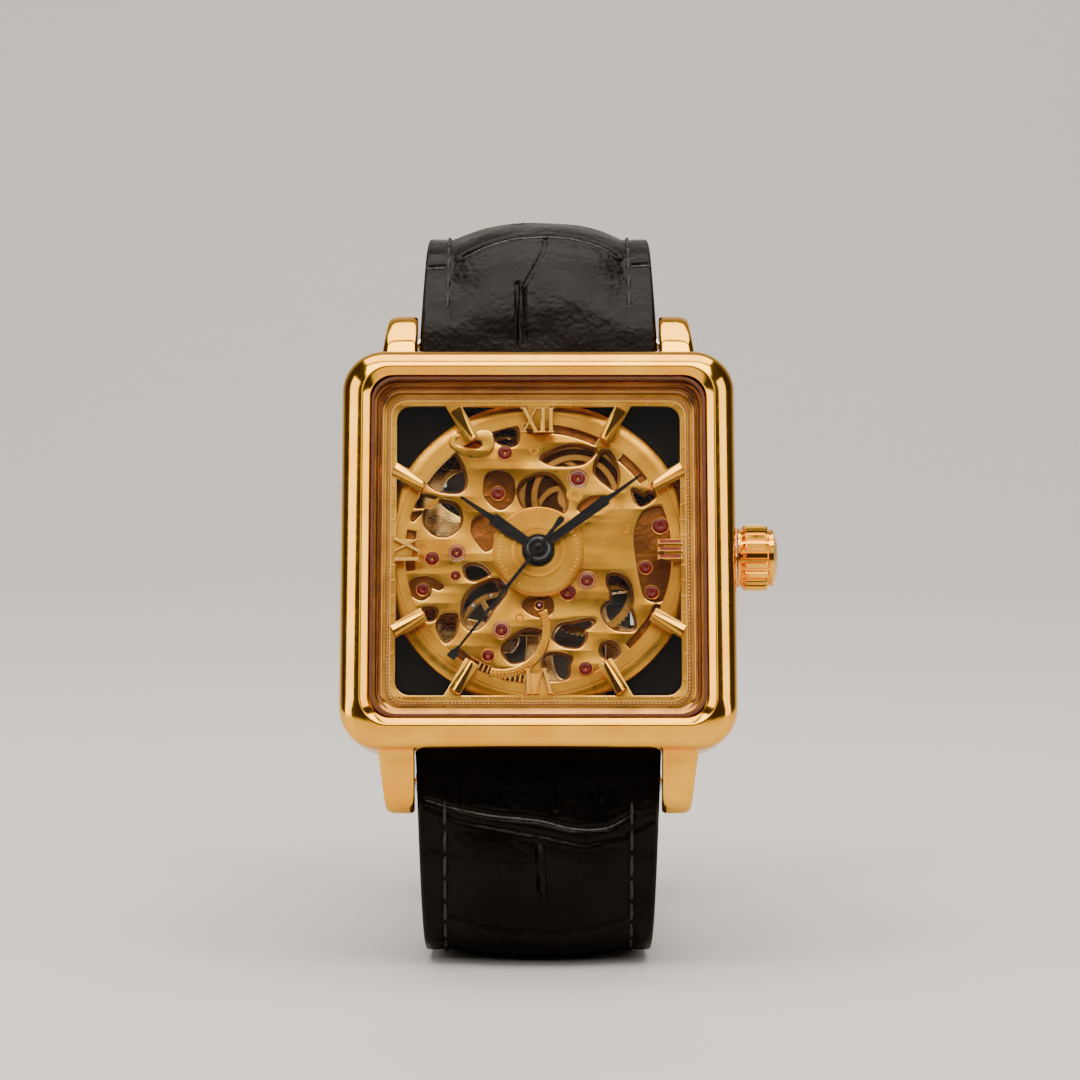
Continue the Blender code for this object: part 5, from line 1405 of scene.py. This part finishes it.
def straps():
    upper_creases = [
        ([(14.0, -7.6), (14.9, -5.0), (15.6, -2.4), (15.9, 0.5), (15.8, 3.5), (15.2, 6.4), (14.4, 7.9)],
         0.24, 0.28),
        ([(12.8, -11.2), (12.9, -9.4)], 0.22, 0.2),
        ([(13.2, 9.4), (13.3, 11.2)], 0.22, 0.2),
        ([(0.9, -2.0), (5.0, -2.1), (9.0, -2.1)], 0.2, 0.22),
        ([(1.4, -1.35), (5.0, -1.4), (8.6, -1.45), (10.8, -0.4), (13.2, 0.5), (15.2, 0.7)], 0.2, 0.16),
    ]
    upper_creases += scale_creases(22.0, 76.0, 8.5)
    lower_creases = [
        ([(4.6, -11.0), (5.4, -8.4), (6.2, -4.6), (6.7, 0.0), (7.5, 3.4), (7.4, 6.6), (6.0, 9.2)], 0.22, 0.2),
        ([(5.2, -10.8), (6.6, -7.8), (7.4, -3.6), (8.2, 0.8), (9.0, 4.4), (8.2, 8.4), (6.6, 11.0)],
         0.22, 0.17),
        ([(8.6, -0.3), (11.5, -0.1), (14.6, 0.1)], 0.2, 0.2),
        ([(8.8, 0.6), (11.5, 0.75), (14.6, 0.85)], 0.2, 0.15),
        ([(0.8, -7.6), (3.0, -7.5), (5.2, -7.5)], 0.2, 0.17),
        ([(0.8, 1.7), (3.0, 1.8), (5.6, 1.7)], 0.2, 0.2),
        ([(0.8, 6.0), (3.0, 6.1), (4.6, 6.1)], 0.2, 0.13),
        ([(17.6, -8.6), (18.4, -3.0), (18.6, 2.0), (17.9, 8.2)], 0.24, 0.2),
    ]
    lower_creases += scale_creases(24.0, 112.0, 8.5)
    upper = Strap(UPPER_ROUTE, -1, (1.6, 3.0, 12.0, 18.0, 56.0), 60, upper_creases, seed=2.0)
    obj = strap_piece("upper_strap", upper, "strap_buckle_side", 6.6, upper.length - 6,
                      [[(s - 0.45, u) for s, u in upper_creases[k][0]] for k in (0, 1, 2)])
    cut_through(obj, box_mesh((-1.6, 30, BUCKLE_Z - 5), (1.6, 40, BUCKLE_Z + 2.2)))
    lower = Strap(LOWER_ROUTE, 1, (1.3, 3.0, 10.0, 14.0, 40.0), 70, lower_creases, tip=7.0, seed=9.0)
    obj = strap_piece("lower_strap", lower, "strap_tail_side", 4.8, lower.length - 8,
                      [lower_creases[k][0] for k in (0, 2, 3)])
    cut_through(obj, slot_mesh(BUCKLE_Z - 6.4, BUCKLE_Z + 1.2, 1.25))
    for step in range(1, 4):
        z = BUCKLE_Z + 6.0 * step
        cut_through(obj, slot_mesh(z - 0.01, z + 0.01, 0.75))


def strap_piece(name, strap, node, stitch_start, stitch_end, highlight_lines=()):
    obj = piece(name, strap.mesh(), [LEATHER, PAINTED, LINING], "root", [node], WORLD, 60)
    bm = bmesh.new()
    strap.stitch_line(bm, stitch_start, stitch_end)
    # Pale threads along crease lips paint the highlights that they catch.
    for points in highlight_lines:
        strap.crease_highlight_line(bm, points)
    piece(name + "_stitches", bm, [THREAD, CREASE_HIGHLIGHT], "root", (), WORLD, 60)
    return obj


def box_mesh(low, high):
    bm = bmesh.new()
    size = Vector(high) - Vector(low)
    middle = (Vector(high) + Vector(low)) / 2
    bmesh.ops.create_cube(bm, size=1.0, matrix=Matrix.Translation(middle) @ Matrix.Diagonal((*size, 1)))
    return bm


def slot_mesh(low, high, radius):
    """A cutter through the tail along y, round at its two ends."""
    bm = bmesh.new()
    rings = []
    for y in (OVER - 4.5, OVER + 2.5):
        ring = arc(radius, 0, 180, 12, (0, high - radius if high - low > 1 else high))
        ring += arc(radius, 180, 360, 12, (0, low + radius if high - low > 1 else low))
        rings.append([(x, y, z) for x, z in ring])
    loft(bm, rings)
    return bm


def cut_through(obj, bm, space=WORLD):
    """Cuts the closed shape, given in the space's millimetres, out of the object for good."""
    bmesh.ops.remove_doubles(bm, verts=bm.verts, dist=0.001)
    bmesh.ops.recalc_face_normals(bm, faces=bm.faces)
    mesh = bpy.data.meshes.new("cutter")
    bm.to_mesh(mesh)
    bm.free()
    mesh.transform(space)
    cutter = bpy.data.objects.new("cutter", mesh)
    bpy.context.scene.collection.objects.link(cutter)
    modifier = obj.modifiers.new("Cut", "BOOLEAN")
    modifier.operation = "DIFFERENCE"
    modifier.object = cutter
    graph = bpy.context.evaluated_depsgraph_get()
    made = bpy.data.meshes.new_from_object(obj.evaluated_get(graph))
    obj.modifiers.remove(modifier)
    bpy.data.objects.remove(cutter)
    obj.data = made


# ---------------------------------------------------------------- keepers and buckle


def keeper(name, node, body):
    """A leather loop: a rounded band with folded edges and two rows of stitches on its outer face."""
    low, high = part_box(node)
    low, high = low / MM, high / MM
    middle = (low + high) / 2
    half = ((high.x - low.x) / 2, (high.y - low.y) / 2)
    height = (high.z - low.z) / 2
    section = []
    half_section = ((1.05, -1.0), (0.25, -1.0), (0.06, -0.93), (0.0, -0.8), (0.0, -0.5), (0.06, 0.0))
    other_half = ((0.0, 0.5), (0.0, 0.8), (0.06, 0.93), (0.25, 1.0), (1.05, 1.0), (1.05, 0.5), (1.05, -0.5))
    for inset, level in half_section + other_half:
        section.append((inset, level * height))
    rings = []
    for inset, level in section:
        sizes = (half[0] - inset, half[1] - inset, max(1.5 - inset, 0.45))
        rings.append([(x + middle.x, y + middle.y, level + middle.z) for x, y in rounded_rectangle(sizes, 8)])
    bm = bmesh.new()
    loft(bm, rings, closed=True)
    piece(name, bm, [LEATHER], body, [node], WORLD, 50)
    bm = bmesh.new()
    for level in (-0.72, 0.72):
        for i in range(9):
            x = -9.0 + 2.1 * i
            rings = []
            for k in range(7):
                t = k / 6
                radius = thread_radius(t, 0.09)
                ring = []
                for a in range(8):
                    across, up = polar(radius, 45 * a)
                    y = high.y + 0.1 * math.sin(math.pi * t) - 0.06 + up
                    ring.append((x + 1.6 * t, y, middle.z + level * height + across))
                rings.append(ring)
            loft(bm, rings)
    piece(name + "_stitches", bm, [THREAD], body, (), WORLD, 60)


def buckle():
    """Polished frame with rounded arms and crossbar, and a tapered tongue."""
    bar_at = Vector(JOINTS["buckle_frame_swing"]["pos_m"]) / MM
    end = -9.0
    arm = [
        (-1.1, 0.4), (-0.62, 1.08), (0.6, 1.08), (1.15, 0.4), (1.7, -2.6), (2.5, end + 2.4),
        (2.95, end + 0.2), (2.55, end - 0.9), (1.55, end - 0.9), (1.15, end), (0.3, -5.2), (-0.45, -2.4),
    ]
    outline = smooth_closed(arm, 4)
    middle = Vector((sum(p.x for p in outline), sum(p.y for p in outline))) / len(outline)
    bm = bmesh.new()
    for side in (-1, 1):
        rings = []
        for x, shrink in ((10.5, 0.88), (10.55, 0.95), (10.75, 1.0), (11.7, 1.0), (11.95, 0.97), (12.08, 0.9),
                          (12.1, 0.82)):
            ring = []
            for point in outline:
                at = middle + (point - middle) * shrink
                ring.append((side * x, at.x, at.y))
            rings.append(ring)
        loft(bm, rings)
    rings = []
    for x in (-11.3, -8, -4, 0, 4, 8, 11.3):
        radius = 0.78 + 0.07 * math.cos(math.pi * x / 22.6)
        rings.append([(x, y, z) for y, z in circle(radius, 28, (2.05, end + 0.05))])
    loft(bm, rings)
    place = Matrix.Translation(bar_at)
    piece("buckle_frame_gold", bm, [POLISHED], "buckle_frame", ["buckle_frame"], WORLD, 50, place)
    tip = end - 0.7
    blade = arc(1.05, -20, 245, 24) + [(0.9, -3.4), (2.75, -7.6), (3.05, tip), (3.3, tip - 0.1), (3.85, tip),
                                       (3.78, -7.4), (1.8, -3.2)]
    bm = bmesh.new()
    rings = []
    for x, shrink in ((-1.1, 0.94), (-1.04, 0.98), (-0.9, 1.0), (0.9, 1.0), (1.04, 0.98), (1.1, 0.94)):
        ring = []
        for y, z in blade:
            narrow = 1 - 0.35 * min(max(-z / 9, 0), 1)
            ring.append((x * narrow, y * shrink + 0.06 * (1 - shrink) * 10, z * (0.985 + 0.015 * shrink)))
        rings.append(ring)
    loft(bm, rings)
    piece("buckle_tongue_gold", bm, [POLISHED], "buckle_tongue", ["buckle_tongue"], WORLD, 50, place)


# ---------------------------------------------------------------- the rest of the frame


def finish_cad_nodes():
    """Better materials on the CAD nodes that stay: plain turned bars, the stem and hidden wheels."""
    looks = {
        "movement_holder": HOLDER,
        "back_crystal": GLASS,
        "minute_wheel": BRASS,
        "hour_wheel": BRASS,
        "cannon_pinion": STEEL,
        "click": STEEL,
        "winding_stem": STEEL,
        "winding_pinion": STEEL,
        "spring_bar_12": STEEL,
        "spring_bar_6": STEEL,
        "buckle_bar": POLISHED,
    }
    for node, look in looks.items():
        mesh = NODES[node].data
        mesh.materials.clear()
        mesh.materials.append(look)
        mesh.shade_smooth()
        mesh.set_sharp_from_angle(angle=math.radians(35))


# ---------------------------------------------------------------- studio and camera


SWEEP_COLOUR = (0.72, 0.70, 0.68)
LAMP_COLOUR = (1.0, 0.95, 0.88)
AIR_COLOUR = (0.9, 0.85, 0.8, 1)


def studio():
    """A pale sweep of floor and backdrop, and soft boxes overhead, in front and at both sides."""
    profile = [(-1.6, 0.0), (0.35, 0.0)]
    profile += [(0.35 + 0.35 * math.sin(math.radians(t)), 0.35 - 0.35 * math.cos(math.radians(t)))
                for t in range(6, 91, 6)]
    profile.append((0.7, 1.8))
    bm = bmesh.new()
    rows = []
    for y, z in profile:
        rows.append([bm.verts.new((x, y, z)) for x in (-1.8, 1.8)])
    for low, high in zip(rows, rows[1:]):
        bm.faces.new((low[0], low[1], high[1], high[0]))
    mesh = bpy.data.meshes.new("studio_sweep")
    bm.to_mesh(mesh)
    bm.free()
    mesh.shade_smooth()
    darker = tuple(c * 0.97 for c in SWEEP_COLOUR)
    mesh.materials.append(plain("pale_sweep", None, (3, 3), SWEEP_COLOUR, darker, (30, 3), (0.55, 0.65)))
    sweep = bpy.data.objects.new("studio_sweep", mesh)
    bpy.context.scene.collection.objects.link(sweep)
    centre = HEAD.translation
    soft_box("overhead", (0.0, -0.19, 0.53), centre, (0.6, 0.26), 6.0)
    soft_box("back_high", (0.0, 0.1, 0.56), centre, (0.6, 0.26), 4.2)
    soft_box("canopy", (0.0, -0.46, 0.40), centre, (0.6, 0.26), 1.0)
    soft_box("left", (-0.5, -0.16, 0.2), centre, (0.24, 0.5), 2.5)
    soft_box("right", (0.5, -0.18, 0.2), centre, (0.2, 0.5), 1.8)
    soft_box("sweep", (0.0, 0.06, 0.7), Vector((0.0, 0.7, 0.66)), (1.4, 0.4), 7.0)
    world = bpy.data.worlds.new("studio_air")
    world.use_nodes = True
    air = world.node_tree.nodes["Background"]
    air.inputs["Color"].default_value = AIR_COLOUR
    air.inputs["Strength"].default_value = 0.12
    bpy.context.scene.world = world
    view = bpy.context.scene.view_settings
    view.view_transform = "AgX"
    view.look = "AgX - Punchy"
    view.exposure = -0.05


def soft_box(name, at, towards, size, power):
    lamp = bpy.data.lights.new(name, "AREA")
    lamp.shape = "RECTANGLE"
    lamp.size, lamp.size_y = size
    lamp.energy = power
    lamp.color = LAMP_COLOUR
    obj = bpy.data.objects.new(name, lamp)
    obj.location = at
    obj.rotation_euler = (Vector(towards) - Vector(at)).to_track_quat("-Z", "Y").to_euler()
    bpy.context.scene.collection.objects.link(obj)


CAMERA_AIM = (0.16, 0.0, 1.27)
CAMERA_ELEVATION = 5.1
CAMERA_DISTANCE = 0.4


def camera():
    """In front of the watch and a little above it, as far away as for a portrait of a product."""
    target = HEAD.translation + Vector(CAMERA_AIM) * MM
    elevation = math.radians(CAMERA_ELEVATION)
    back = Vector((0, -math.cos(elevation), math.sin(elevation)))
    lens = bpy.data.cameras.new("camera")
    lens.lens = 136
    lens.sensor_width = 36
    lens.clip_start = 0.01
    obj = bpy.data.objects.new("camera", lens)
    obj.location = target + back * CAMERA_DISTANCE
    obj.rotation_euler = (-back).to_track_quat("-Z", "Y").to_euler()
    bpy.context.scene.collection.objects.link(obj)
    bpy.context.scene.camera = obj


bezel()
case_body()
crown()
glass_and_gasket()
flange_and_beads()
case_back()
dial()
hands()
main_plate()
plate_details()
jewels()
motion_cover()
barrel()
going_train()
escapement()
springs()
bridges()
straps()
keeper("fixed_keeper_leather", "fixed_keeper", "root")
keeper("free_keeper_leather", "free_keeper", "keeper")
buckle()
finish_cad_nodes()
studio()
camera()
